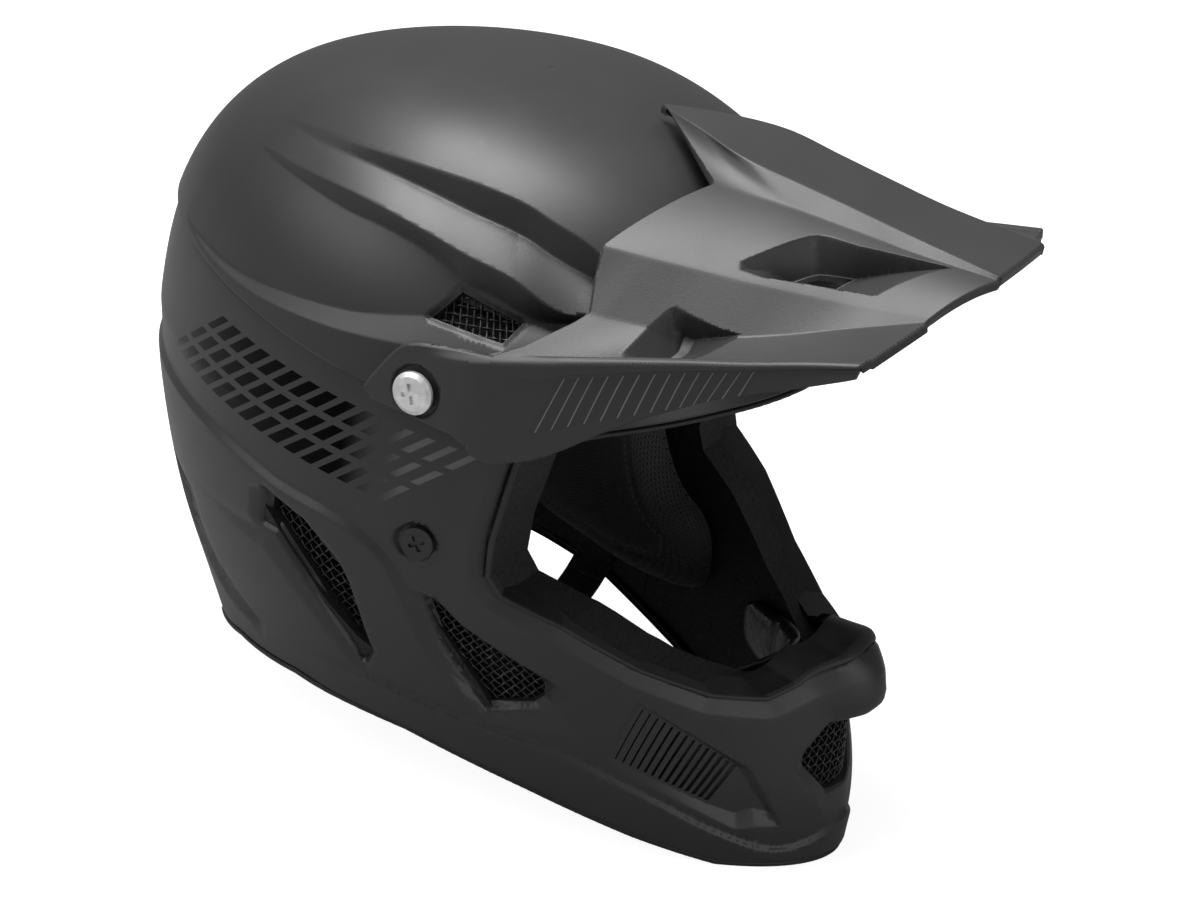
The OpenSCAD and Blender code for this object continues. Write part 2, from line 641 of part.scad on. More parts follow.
module strap_left() color("#242424") {
    g = strap_run(1, concat([[79, 37], [71.5, 30], [60, 24]],
        [[51, ring_z + loop_h + 1], [ring_x[0], ring_z + loop_h], [ring_x[1], ring_z + loop_h]],
        [for (t = [15 : 30 : 165]) [ring_x[1] - loop_h * sin(t), ring_z + loop_h * cos(t)]],
        [[ring_x[1], ring_z - loop_h], [ring_x[0], ring_z - loop_h],
        [ring_x[0] + 2.5, ring_z - loop_h + 0.3], [51.8, ring_z + loop_h + 0.4]]));
    sheet(g, strap_t);
}

// The free strap lies folded back on itself, held by the snap
fold_start = [-60, 24];
fold_end = [-22, 10];
fold_turn = atan2(fold_end[1] - fold_start[1], fold_end[0] - fold_start[0]);
fold_mid = (fold_start + fold_end) / 2 + [2, -0.7];

module strap_right() color("#242424") {
    up = [-sin(fold_turn), cos(fold_turn)];
    gap_h = 1;
    turn_r = strap_t + gap_h / 2;
    c = fold_end + up * gap_h / 2;
    g = strap_run(-1, concat([[79, 37], [71.5, 30]],
        [for (p = [fold_start, fold_end]) let (q = p - up * strap_t) [-q[0], q[1]]],
        [for (t = [-60 : 30 : 60])
            let (q = c + turn_r * [cos(t + fold_turn), sin(t + fold_turn)]) [-q[0], q[1]]],
        [for (p = [fold_end, fold_start + [9, -3.3]]) let (q = p + up * (strap_t + gap_h)) [-q[0], q[1]]]));
    difference() {
        sheet([for (r = g) [r[1], r[0]]], strap_t);
        snap_axis(-8, 8, 1.6);
    }
}

module snap_axis(from, to, r) {
    translate([fold_mid[0] * kw, mid - strap_f * kl, fold_mid[1] * kh]) rotate([0, -fold_turn, 0])
        translate([0, 0, from]) cylinder(r = r, h = to - from, $fn = 32);
}

module strap_snap() color("#303030") {
    snap_axis(-3.6, 4.6, 1.5);
    snap_axis(-3.6, -2, 5);
    snap_axis(3.2, 4.6, 5);
}

// Bent rod: a straight bar along y, two legs and a half circle towards the middle
module bent_ring(x, inner_half, legs) {
    r = inner_half + rod_r;
    translate([x * kw, mid - strap_f * kl, ring_z * kh]) rotate([0, 0, 180]) rotate([0, 18, 0]) {
        rotate([90, 0, 0]) cylinder(r = rod_r, h = 2 * r, center = true, $fn = 32);
        for (e = [-1, 1]) translate([0, e * r, 0]) {
            sphere(r = rod_r, $fn = 32);
            rotate([0, 90, 0]) cylinder(r = rod_r, h = legs, $fn = 32);
        }
        translate([legs, 0, 0]) rotate([0, 0, -90]) rotate_extrude(angle = 180, $fn = 64)
            translate([r, 0]) circle(r = rod_r, $fn = 32);
    }
}

module outer_ring() color("#c4c6c8") bent_ring(ring_x[0], strap_w / 2 + 7, 7.6);
module inner_ring() color("#c4c6c8") bent_ring(ring_x[1], strap_w / 2 + 0.4, 3);

crown_shell();
jaw_shell();
crown_liner();
base_liner();
chin_liner();
eyeport_gasket();
base_trim();
temple_screens();
rear_screens();
cheek_screens();
mouth_screen();
visor();
visor_screw_left();
visor_screw_right();
visor_spacers();
visor_inserts();
low_screws();
low_inserts();
crown_pad();
neck_pad();
cheek_pad_left();
cheek_pad_right();
chin_pad();
strap_left();
strap_right();
strap_snap();
outer_ring();
inner_ring();
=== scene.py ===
import math
import bpy
import numpy as np
from mathutils import Matrix


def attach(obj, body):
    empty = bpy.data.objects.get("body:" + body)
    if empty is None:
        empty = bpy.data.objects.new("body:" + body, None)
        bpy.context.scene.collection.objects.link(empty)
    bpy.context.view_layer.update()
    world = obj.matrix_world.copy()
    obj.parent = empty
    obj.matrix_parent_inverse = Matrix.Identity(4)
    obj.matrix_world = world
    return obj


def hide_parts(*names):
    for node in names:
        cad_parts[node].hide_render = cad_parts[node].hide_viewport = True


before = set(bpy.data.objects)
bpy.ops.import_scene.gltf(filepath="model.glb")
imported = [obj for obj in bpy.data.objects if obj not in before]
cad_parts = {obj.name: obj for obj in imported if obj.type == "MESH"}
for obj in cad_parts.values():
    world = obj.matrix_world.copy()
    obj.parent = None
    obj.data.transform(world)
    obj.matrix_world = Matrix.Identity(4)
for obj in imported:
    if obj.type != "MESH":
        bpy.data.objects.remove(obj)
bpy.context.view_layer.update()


# Numbers and curves


# Smooth curve through [place, value] pairs, level outside them.
def curve(t, keys):
    keys = np.asarray(keys, float)
    place, value = keys[:, 0], keys[:, 1]
    u = np.clip(t, place[0], place[-1])
    slope = np.diff(value) / np.diff(place)
    lean = np.concatenate([slope[:1], (slope[:-1] + slope[1:]) / 2, slope[-1:]])
    i = np.clip(np.searchsorted(place, u, side="right") - 1, 0, len(place) - 2)
    h = place[i + 1] - place[i]
    s = (u - place[i]) / h
    return (value[i] * (1 + 2 * s) * (1 - s) ** 2 + h * lean[i] * s * (1 - s) ** 2
            + value[i + 1] * s * s * (3 - 2 * s) + h * lean[i + 1] * s * s * (s - 1))


# Straight runs through [place, value] pairs.
def run(t, keys):
    keys = np.asarray(keys, float)
    return np.interp(t, keys[:, 0], keys[:, 1])


# Eased step: t squared times 3 less 2 t, with t held to 0..1.
def smooth(t):
    t = np.clip(t, 0, 1)
    return t * t * (3 - 2 * t)


# Ramp from 0 to 1 over 0..1 whose two corners are rounded over the part r.
def ramp(t, r=0.08):
    def soft(x):
        return np.where(x < -r, 0, np.where(x > r, x, (x + r) ** 2 / (4 * r)))
    return soft(t) - soft(t - 1)


# Signed distance to a polygon, positive inside.
def inside(points, polygon):
    a = np.asarray(polygon, float)
    b = np.roll(a, -1, 0)
    far = np.full(len(points), 1e9)
    odd = np.zeros(len(points), bool)
    for p, q in zip(a, b):
        e = q - p
        w = points - p
        t = np.clip((w @ e) / max(e @ e, 1e-12), 0, 1)
        far = np.minimum(far, np.hypot(w[:, 0] - t * e[0], w[:, 1] - t * e[1]))
        over = (p[1] > points[:, 1]) != (q[1] > points[:, 1])
        with np.errstate(divide="ignore", invalid="ignore"):
            cross = p[0] + (points[:, 1] - p[1]) / (q[1] - p[1]) * e[0]
        odd ^= over & (points[:, 0] < cross)
    return np.where(odd, far, -far)


# The helmet's form, as in the CAD: the middle of its box along Y, the reach of its centre, and the
# foot and the rise of its dome.
mid, centreF, domeZ, domeH = 32.7, 5.6, 150.0, 125.0
skin = {
    "half": [[0, 84], [40, 99], [80, 113], [120, 120], [150, 122]],
    "rear": [[0, 90], [40, 109], [80, 128], [120, 142], [150, 149]],
    "fore": [[0, 188], [40, 187], [80, 180], [120, 166], [150, 149]],
    "rise": domeH,
}
hollow = {
    "half": [[0, 81], [60, 85], [150, 89]],
    "rear": [[0, 72], [60, 92], [150, 112]],
    "fore": [[0, 158], [70, 158], [110, 140], [150, 112]],
    "rise": 94.0,
}
forePower = [[0, 1.85], [75, 1.57], [150, 2.07], [275, 2.03]]


# Point of a form at an angle from the front and a height, moved out by d: a superellipse whose
# half width, rear and front reach follow the height, closed above domeZ as a dome.
def at(form, angle, h, d=0.0):
    a = np.radians(angle)
    sine, cosine = np.sin(a), np.cos(a)
    fore = cosine >= 0
    s = np.clip((h - domeZ) / form["rise"], 0, 1)

    def cap(p):
        return np.clip(1 - s ** p, 0, None) ** (1 / p)
    power = np.where(fore, curve(h, forePower), 1.87)
    w = curve(h, form["half"]) * cap(3.1) + d
    reach = np.where(fore, curve(h, form["fore"]) * cap(2.2), curve(h, form["rear"]) * cap(2.5)) + d
    x = np.sign(sine) * w * np.abs(sine) ** (2 / power)
    f = centreF + np.sign(cosine) * reach * np.abs(cosine) ** (2 / power)
    z = np.where(h <= domeZ, h, domeZ + (h - domeZ) * (form["rise"] + d) / form["rise"])
    return np.stack([x, mid - f, z], -1)


# The shell's chart: u is the way round at height chartZ from the front, v the way up the side.
chartZ = 75.0


# Lengths along the form, round it and up it, against angle and height.
def chartOf(form):
    a = np.linspace(0, 180, 1801)
    p = at(form, a, np.full(a.shape, chartZ))
    around = np.concatenate([[0], np.cumsum(np.linalg.norm(np.diff(p, axis=0), axis=1))])
    t = np.linspace(0, 90, 901)
    h = domeZ + form["rise"] * np.sin(np.radians(t))
    q = at(form, np.full(h.shape, 90.0), h)
    up = domeZ + np.concatenate([[0], np.cumsum(np.linalg.norm(np.diff(q, axis=0), axis=1))])
    return {"a": a, "around": around, "h": h, "up": up, "uMax": around[-1], "vMax": up[-1]}


chart = chartOf(skin)
uMax, vMax = chart["uMax"], chart["vMax"]


# Angle from the front of a way round, read from the chart's table and mirrored beyond the back.
def angleOf(u):
    w = np.abs(u)
    back = w > uMax
    a = np.interp(np.where(back, 2 * uMax - w, w), chart["around"], chart["a"])
    return np.sign(u) * np.where(back, 360 - a, a)


# Height of a way up: the same below the dome, read from the table above it.
def heightOf(v):
    return np.where(v < domeZ, v, np.interp(v, chart["up"], chart["h"]))


# Way up of a height, the other way through the table.
def upOf(h):
    h = np.asarray(h, float)
    return np.where(h < domeZ, h, np.interp(h, chart["h"], chart["up"]))


# Point of the shell at a place on its chart, moved out by d.
def onShell(u, v, d):
    return at(skin, angleOf(u), heightOf(v), d)


# Polygon of (way round, height) pairs, as chart coordinates.
def drawn(pairs):
    p = np.asarray(pairs, float)
    return np.stack([p[:, 0], upOf(p[:, 1])], -1)


# Flat triangle nets that are refined, scored and clipped before they are bent
snapShare, nearZero = 0.2, 1e-6  # a corner this near to a line moves onto it; a value this small is 0


# Which points some face uses, and the faces counted over those points alone.
def inUse(count, faces):
    used = np.zeros(count, bool)
    used[faces.ravel()] = True
    return used, (np.cumsum(used) - 1)[faces]


# Net of triangles over a grid, each square halved along the diagonals in turn. The points of its
# border and of its scored lines are locked.
class Net:
    def __init__(self, us, vs):
        m, n = len(us), len(vs)
        self.p = np.stack(np.meshgrid(us, vs, indexing="ij"), -1).reshape(-1, 2).astype(float)
        k = (np.arange(m - 1)[:, None] * n + np.arange(n - 1)).ravel()
        turn = (np.add.outer(np.arange(m - 1), np.arange(n - 1)).ravel() % 2)[:, None].astype(bool)
        a, b, c, d = k, k + n, k + n + 1, k + 1
        one = np.where(turn, np.stack([a, b, c], 1), np.stack([a, b, d], 1))
        two = np.where(turn, np.stack([a, c, d], 1), np.stack([b, c, d], 1))
        self.t = np.concatenate([one, two])
        self.lock = np.isin(self.p[:, 0], [us[0], us[-1]]) | np.isin(self.p[:, 1], [vs[0], vs[-1]])
        self.value = np.zeros(len(self.p))

    # Each edge once, and the numbers of every triangle's three edges.
    def edges(self):
        n = len(self.p)
        e = np.sort(np.stack([self.t, np.roll(self.t, -1, 1)], 2).reshape(-1, 2), 1)
        keys, back = np.unique(e[:, 0].astype(np.int64) * n + e[:, 1], return_inverse=True)
        return np.stack([keys // n, keys % n], 1), back.reshape(-1, 3)

    # Cuts each edge at its place in t, or keeps it where t is nan.
    def cut(self, ends, back, t, lock):
        n = len(self.p)
        chosen = ~np.isnan(t)
        w = t[chosen, None]
        self.p = np.concatenate([self.p, self.p[ends[chosen, 0]] * (1 - w) + self.p[ends[chosen, 1]] * w])
        old = self.lock[ends[chosen, 0]] & self.lock[ends[chosen, 1]]
        self.lock = np.concatenate([self.lock, old | lock])
        a, b = self.value[ends[chosen, 0]], self.value[ends[chosen, 1]]
        self.value = np.concatenate([self.value, a * (1 - t[chosen]) + b * t[chosen]])
        ids = np.full(len(ends), -1)
        ids[chosen] = n + np.arange(chosen.sum())
        m = ids[back]
        count = (m >= 0).sum(1)
        parts = [self.t[count == 0]]
        for k in range(3):
            a, b, c = self.t[:, k], self.t[:, (k + 1) % 3], self.t[:, (k + 2) % 3]
            ab, bc, ca = m[:, k], m[:, (k + 1) % 3], m[:, (k + 2) % 3]
            one = (count == 1) & (ab >= 0)
            two = (count == 2) & (ca < 0)
            parts += [np.stack(f, 1)[one] for f in ((a, ab, c), (ab, b, c))]
            parts += [np.stack(f, 1)[two] for f in ((ab, b, bc), (a, ab, bc), (a, bc, c))]
        three = count == 3
        a, b, c = self.t[three].T
        ab, bc, ca = m[three].T
        parts += [np.stack(f, 1) for f in ((a, ab, ca), (ab, b, bc), (ca, bc, c), (ab, bc, ca))]
        self.t = np.concatenate(parts)

    # Halves edges until none is longer than the length wanted at its middle.
    def refine(self, length, rounds=7):
        for _ in range(rounds):
            ends, back = self.edges()
            a, b = self.p[ends[:, 0]], self.p[ends[:, 1]]
            long = np.linalg.norm(b - a, axis=1) > length((a + b) / 2)
            if not long.any():
                break
            self.cut(ends, back, np.where(long, 0.5, np.nan), False)

    # Share along each edge at which the value passes zero, nan where it doesn't.
    def crossings(self, ends):
        a, b = self.value[ends[:, 0]], self.value[ends[:, 1]]
        with np.errstate(divide="ignore", invalid="ignore"):
            return np.where(a * b < 0, a / (a - b), np.nan)

    # Lays edges along the line where the field is shift.
    def score(self, field, shift=0.0):
        self.value = field(self.p) - shift
        self.value[np.abs(self.value) < nearZero] = 0
        ends, back = self.edges()
        t = self.crossings(ends)
        for end, near in ((0, t < snapShare), (1, t > 1 - snapShare)):
            pick = near & ~self.lock[ends[:, end]]
            i = ends[pick, end]
            w = t[pick, None]
            self.p[i] = self.p[ends[pick, 0]] * (1 - w) + self.p[ends[pick, 1]] * w
            self.value[i] = 0
            self.lock[i] = True
        n = len(self.p)
        self.cut(ends, back, self.crossings(ends), True)
        self.value[n:] = 0

    # Keeps the side where the field is above shift.
    def clip(self, field, shift=0.0):
        self.score(field, shift)
        used, self.t = inUse(len(self.p), self.t[self.value[self.t].sum(1) > 0])
        self.p, self.lock, self.value = self.p[used], self.lock[used], self.value[used]

    # Edges of one triangle only, turned as that triangle turns.
    def rim(self):
        e = np.stack([self.t, np.roll(self.t, -1, 1)], 2).reshape(-1, 2)
        s = np.sort(e, 1)
        _, first, count = np.unique(s[:, 0].astype(np.int64) * len(self.p) + s[:, 1],
                                    return_index=True, return_counts=True)
        return e[first[count == 1]]


# Meshes


# Vectors made one long.
def unit(v):
    return v / np.maximum(np.linalg.norm(v, axis=-1, keepdims=True), 1e-12)


# A mesh object from points in millimetres, faces, normals for the corners and up to two UV layers,
# in hundreds of millimetres.
def makeObject(name, points, faces, corner=None, uv=None, edges=None, material=None, body="helmet",
               nodes=()):
    mesh = bpy.data.meshes.new(name)
    faces = np.asarray(faces)
    mesh.vertices.add(len(points))
    mesh.vertices.foreach_set("co", (np.asarray(points) / 1000).astype(np.float32).ravel())
    mesh.loops.add(faces.size)
    mesh.loops.foreach_set("vertex_index", faces.ravel().astype(np.int32))
    mesh.polygons.add(len(faces))
    mesh.polygons.foreach_set("loop_start", np.arange(0, faces.size, faces.shape[1], dtype=np.int32))
    mesh.polygons.foreach_set("use_smooth", np.ones(len(faces), bool))
    mesh.update()
    mesh.validate()
    for label, values in (("chart", uv), ("sewn", edges)):
        if values is not None and len(mesh.loops) == faces.size:
            layer = mesh.uv_layers.new(name=label)
            values = (np.asarray(values)[faces.ravel()] / 100).astype(np.float32)
            layer.data.foreach_set("uv", values.ravel())
    if corner is not None and len(mesh.loops) == faces.size:
        mesh.normals_split_custom_set(np.asarray(corner).reshape(-1, 3).tolist())
    thing = bpy.data.objects.new(name, mesh)
    bpy.context.scene.collection.objects.link(thing)
    mesh.materials.append(material)
    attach(thing, body)
    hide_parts(*nodes)
    return thing


nudge = 0.04


# Bends a net by place(u, v, d) with the relief d(points), gives it a thickness, mirrors it in the
# planes where u is one of planes, and makes the object. A normal is the cross of the bent surface's
# slopes along u and v over nudge, so flat parts stay flat.
def bend(name, net, place, relief, thick, planes=(), **more):
    p = net.p

    # Place on the form, raised by the relief and by d.
    def bent(q, d=0.0):
        return place(q[:, 0], q[:, 1], relief(q) + d)

    outer, inner = bent(p), bent(p, -thick)
    uStep, vStep = np.array([nudge, 0]), np.array([0, nudge])
    normal = unit(np.cross(bent(p + uStep) - bent(p - uStep), bent(p + vStep) - bent(p - vStep)))
    rim = net.rim()
    onPlane = np.zeros(len(p), bool)
    for u in planes:
        onPlane |= np.abs(p[:, 0] - u) < nearZero
    outer[onPlane, 0] = inner[onPlane, 0] = 0
    normal[onPlane, 0] = 0
    normal = unit(normal)
    rim = rim[~(onPlane[rim[:, 0]] & onPlane[rim[:, 1]])]
    n = len(p)
    sheet = net.t
    side = np.concatenate([np.stack([rim[:, 1], rim[:, 0], rim[:, 0] + n], 1),
                           np.stack([rim[:, 1], rim[:, 0] + n, rim[:, 1] + n], 1)])
    faces = np.concatenate([sheet, sheet[:, ::-1] + n, side])
    points = np.concatenate([outer, inner])
    uv = np.concatenate([p, p])
    a, b, c = (points[side[:, k]] for k in range(3))
    flat = unit(np.cross(b - a, c - a))
    corner = np.concatenate([normal[sheet].reshape(-1, 3), -normal[sheet[:, ::-1]].reshape(-1, 3),
                             np.repeat(flat, 3, 0)])
    if planes:
        total = len(points)
        twin = np.arange(total) + np.where(np.concatenate([onPlane, onPlane]), 0, total)
        flip = np.array([-1, 1, 1])
        points = np.concatenate([points, points * flip])
        uv = np.concatenate([uv, uv * np.array([-1, 1])])
        backCorner = (corner.reshape(-1, 3, 3)[:, ::-1] * flip).reshape(-1, 3)
        faces = np.concatenate([faces, twin[faces[:, ::-1]]])
        corner = np.concatenate([corner, backCorner])
        used, faces = inUse(len(points), faces)
        points, uv = points[used], uv[used]
    return makeObject(name, points, faces, corner=corner, uv=uv, **more)


# Materials


# A node's output, with sums and products that build the nodes for them.
class Sock:
    def __init__(self, paint, socket):
        self.paint, self.socket = paint, socket

    # One Math node on this value and the others.
    def maths(self, operation, *values):
        return self.paint.node("Math", {"operation": operation}, dict(enumerate((self,) + values)))

    def __add__(self, other):
        return self.maths("ADD", other)

    def __sub__(self, other):
        return self.maths("SUBTRACT", other)

    def __mul__(self, other):
        return self.maths("MULTIPLY", other)

    def __truediv__(self, other):
        return self.maths("DIVIDE", other)

    def __rsub__(self, other):
        return self.paint.node("Math", {"operation": "SUBTRACT"}, {0: other, 1: self})

    __radd__, __rmul__ = __add__, __mul__

    def absolute(self):
        return self.maths("ABSOLUTE")

    # 0 to 1 as the value goes from lo to hi, eased.
    def step(self, lo, hi):
        sockets = {0: self, 1: lo, 2: hi}
        return self.paint.node("MapRange", {"interpolation_type": "SMOOTHSTEP"}, sockets)

    # Wave of 0 to 1 with the given pitch.
    def wave(self, pitch):
        return (self * (2 * math.pi / pitch)).maths("SINE") * 0.5 + 0.5

    # Part of the pitch covered since its last start.
    def saw(self, pitch):
        return (self / pitch).maths("FRACT")

    # One less the value.
    def inverse(self):
        return 1.0 - self


# A tree of shader nodes; node() adds one node with its settings and sockets and gives an output.
class Tree:
    def __init__(self, tree):
        self.tree = tree

    def node(self, kind, settings=None, sockets=None, out=0):
        n = self.tree.nodes.new("ShaderNode" + kind)
        for key, value in (settings or {}).items():
            setattr(n, key, value)
        for key, value in (sockets or {}).items():
            if isinstance(value, Sock):
                self.tree.links.new(value.socket, n.inputs[key])
            elif isinstance(value, tuple) and n.inputs[key].type == "RGBA":
                n.inputs[key].default_value = (*value, 1)
            else:
                n.inputs[key].default_value = value
        return Sock(self, n.outputs[out])

    # Every output of the node that gives a socket.
    def outputs(self, sock):
        return {o.name: Sock(self, o) for o in sock.socket.node.outputs}

    # Links a surface to the tree's output node.
    def surface(self, sock, name):
        self.tree.links.new(sock.socket, self.tree.nodes[name].inputs["Surface"])


# A material and its Principled shader.
class Paint(Tree):
    def __init__(self, name, **shader):
        self.material = bpy.data.materials.new(name)
        self.material.use_nodes = True
        super().__init__(self.material.node_tree)
        self.shader = self.tree.nodes["Principled BSDF"]
        for key, value in shader.items():
            self.shader.inputs[key.replace("_", " ").title()].default_value = value

    # Place in millimetres on the object.
    def place(self):
        raw = self.node("TexCoord", out=3)
        return self.node("VectorMath", {"operation": "SCALE"}, {0: raw, "Scale": 1000.0})

    # Place in millimetres on a UV layer.
    def layer(self, name):
        parts = self.outputs(self.node("SeparateXYZ", {}, {0: self.node("UVMap", {"uv_map": name})}))
        return parts["X"] * 100.0, parts["Y"] * 100.0

    # Noise whose features are about size millimetres wide.
    def noise(self, size, detail=2.0, rough=0.5):
        return self.node("TexNoise", {}, {"Vector": self.place(), "Scale": 1 / size, "Detail": detail,
                                          "Roughness": rough})

    # Distance from the joints between cells about size millimetres wide.
    def cells(self, size):
        return self.node("TexVoronoi", {"feature": "DISTANCE_TO_EDGE"},
                         {"Vector": self.place(), "Scale": 1 / size})

    # Colour that goes from the first to the second with the part.
    def mix(self, part, one, two):
        return self.node("Mix", {"data_type": "RGBA"}, {0: part, 6: one, 7: two}, out=2)

    # Links the finish to the shader, the height in millimetres as a bump, and gives the material.
    def finish(self, colour, rough, height, metal=None):
        bump = self.node("Bump", {}, {"Height": height, "Strength": 1.0, "Distance": 0.001})
        links = {"Base Color": colour, "Roughness": rough, "Metallic": metal, "Normal": bump}
        for socket, value in links.items():
            if value is not None:
                self.tree.links.new(value.socket, self.shader.inputs[socket])
        return self.material


shellFacts = {"colour": (0.024, 0.024, 0.0245), "rough": 0.43}
visorPaintFacts = {"colour": (0.029, 0.029, 0.0295), "rough": 0.46}


# Colour with each of its parts multiplied by k.
def times(k, colour):
    return tuple(k * c for c in colour)


# Moulded matte plastic: a fine spark grain, soft blotches in its gloss and faint rubbed specks.
def mouldedPlastic(name, colour, rough):
    p = Paint(name)
    grain, blotch, rub = p.noise(0.55, 2), p.noise(28, 3), p.noise(5.0, 4, 0.65)
    worn = rub.step(0.62, 0.74) * blotch.step(0.45, 0.7)
    base = p.mix(worn * 0.22, p.mix(blotch, times(0.9, colour), times(1.1, colour)), times(2.4, colour))
    return p, base, rough - 0.05 + blotch * 0.1 - worn * 0.06, grain * 0.035 + p.noise(2.2) * 0.02


# The moulded plastic with nothing printed on it.
def crownPlastic():
    p, base, rough, height = mouldedPlastic("shellPaint", **shellFacts)
    return p.finish(base, rough, height)


# Printed band of slanted bars in the side view: three rows above a rising line, the bars' pitch and
# their share of it, and where along Y the ink is black, pale or wider.
decalFacts = {"low": 137.0, "rise": 0.083, "rows": [(0, 9.5), (12, 20.5), (23, 32)],
              "across": (-0.655, -0.756), "back": -194.0, "front": -104.0, "pitch": 6.1, "wide": 0.68,
              "narrow": 0.42, "widening": (-10, 40), "blackFrom": (8, 26), "paleTo": (-4, 8),
              "dark": (0.003, 0.003, 0.003), "pale": (0.105, 0.105, 0.107)}


# A bar is where the place across the bars, taken to the pitch, is under the bar's share. Black bars
# behind turn through the shell's own tone to pale ones in front.
def jawPlastic(f):
    p, base, rough, height = mouldedPlastic("jawPaint", **shellFacts)
    side = p.outputs(p.node("SeparateXYZ", {}, {0: p.place()}))
    y, z = side["Y"], side["Z"]
    s = y * f["across"][0] + z * f["across"][1]
    black, pale = y.step(*f["blackFrom"]), y.step(*f["paleTo"]).inverse()
    phase = s.saw(f["pitch"])
    share = f["narrow"] + y.step(*f["widening"]) * (f["wide"] - f["narrow"])
    bars = (share - phase).step(0, 0.03) * phase.step(0, 0.03)
    above = z - y * f["rise"] - f["low"]
    rows = 0.0
    for low, high in f["rows"]:
        rows = (above - low).step(0, 0.3) * (high - above).step(0, 0.3) + rows
    ink = bars * rows * (s - f["back"]).step(0, 0.3) * (f["front"] - s).step(0, 0.3)
    base = p.mix(ink * pale, p.mix(ink * black, base, f["dark"]), f["pale"])
    return p.finish(base, rough - ink * 0.08, height, ink * black)


# Band of fine raised lines along the visor's lower side, in the visor's chart; the lines are painted pale as
# highlights on their edges.
hatchFacts = {"front": 142.0, "top": 143.0, "low": 161.5, "first": 29.6, "last": 95.8, "pitch": 4.72,
              "line": 0.05, "lean": 0.538, "turn": 0.0065, "lowFrom": 45.0, "lowOver": 60, "lowBy": 7.0,
              "ground": (0.012, 0.012, 0.012), "pale": (0.2, 0.2, 0.2)}


# Each line starts at s along the fold and leans: v is s less lean less turn times s, for every
# millimetre down from the fold.
def visorPlastic(f):
    p, base, rough, height = mouldedPlastic("visorPaint", **visorPaintFacts)
    u, back = p.layer("chart")
    u, v = u.absolute(), f["front"] - back
    down = u - f["top"]
    s = (v + down * f["lean"]) / (down * f["turn"] + 1.0)
    phase = (s - f["first"]).saw(f["pitch"])
    line = (f["line"] - (phase - 0.5).absolute()).step(-0.03, 0.03)
    foot = f["low"] + (s - f["lowFrom"]).step(0, f["lowOver"]) * f["lowBy"]
    room = down.step(0, 0.4) * (foot - u).step(0, 0.4)
    room = room * (s - f["first"]).step(0, 0.4) * (f["last"] - s).step(0, 0.4)
    # The pale colour laid on the lines is a painted highlight.
    base = p.mix(room * line, p.mix(room * 0.22, base, f["ground"]), f["pale"])
    return p.finish(base, rough - room * line * 0.12, height + room * line * 0.4)


# Rubber: black, with a faint bloom and moulded grain.
def rubberPaint():
    p = Paint("rubber")
    bloom = p.noise(9, 4)
    base = p.mix(bloom.step(0.4, 0.75), (0.008, 0.008, 0.008), (0.02, 0.02, 0.02))
    return p.finish(base, 0.42 + bloom * 0.25, p.noise(0.5) * 0.03)


# Expanded foam: beads with darker joints between them.
def foamPaint():
    p = Paint("foam")
    joint = p.cells(3.4).step(0.0, 0.09)
    base = p.mix(joint, (0.003, 0.003, 0.003), (0.011, 0.011, 0.011))
    return p.finish(base, 0.6 + p.noise(2.0) * 0.25, joint * 0.18 + p.noise(0.9) * 0.04)


# Woven wire under black lacquer, lighter in soft random patches.
def wirePaint():
    p = Paint("wireMetal", metallic=0.55)
    base = p.mix(p.noise(2.4, 3).step(0.5, 0.75), (0.03, 0.03, 0.031), (0.12, 0.12, 0.125))
    return p.finish(base, 0.34 + p.noise(1.0) * 0.2, p.noise(0.35) * 0.02)


# Pad cover: fine knit inside the sewn line, open mesh between it and the hem, a row of stitches
# beside the line, which runs seam millimetres from the edge; painted shade darkens the mesh's
# holes and the sewn grooves.
def coverPaint(name, seam):
    p = Paint(name, sheen_weight=0.35, sheen_roughness=0.5)
    u, v = p.layer("chart")
    edge, sewn = p.layer("sewn")
    one, two = u + v, u - v
    knit = one.wave(1.7) * two.wave(1.7)
    holes = (one.wave(3.2) + two.wave(3.2)).step(1.15, 1.5)
    border = (edge - seam).step(-0.6, 0.6).inverse()
    stitch = (edge - (seam + 1.8)).absolute().step(0.25, 0.45).inverse() * one.wave(3.4).step(0.3, 0.5)
    fuzz = p.noise(0.8, 3)
    knitted = p.mix(knit, (0.014, 0.014, 0.015), (0.028, 0.028, 0.03))
    # The mesh's holes are painted near black as the shade inside them.
    meshed = p.mix(holes, (0.05, 0.05, 0.052), (0.004, 0.004, 0.004))
    base = p.mix(stitch * 0.8, p.mix(border, knitted, meshed), (0.07, 0.07, 0.072))
    # Along the sewn lines and panel seams the cover is painted darker as shade in their grooves.
    base = p.mix(sewn * 0.006, base, (0.006, 0.006, 0.006))
    height = (knit * 0.12 + fuzz * 0.08) * border.inverse() + border * holes * -0.5 + stitch * 0.3
    return p.finish(base, 0.72 + fuzz * 0.2, height)


# Glossy dark cover of the chin pads, creased and finely grained, its creases darkened as painted shade.
def vinylPaint():
    p = Paint("chinVinyl", coat_weight=0.35, coat_roughness=0.18)
    crease = p.cells(9.0).step(0, 0.16)
    # Near the creases the colour goes darker: painted shade in the creases.
    base = p.mix(crease, (0.006, 0.006, 0.006), (0.018, 0.018, 0.019))
    height = p.noise(7, 3, 0.6) * 0.9 + crease * 0.15 + p.noise(0.6) * 0.03
    return p.finish(base, 0.24 + p.noise(3, 4) * 0.22, height)


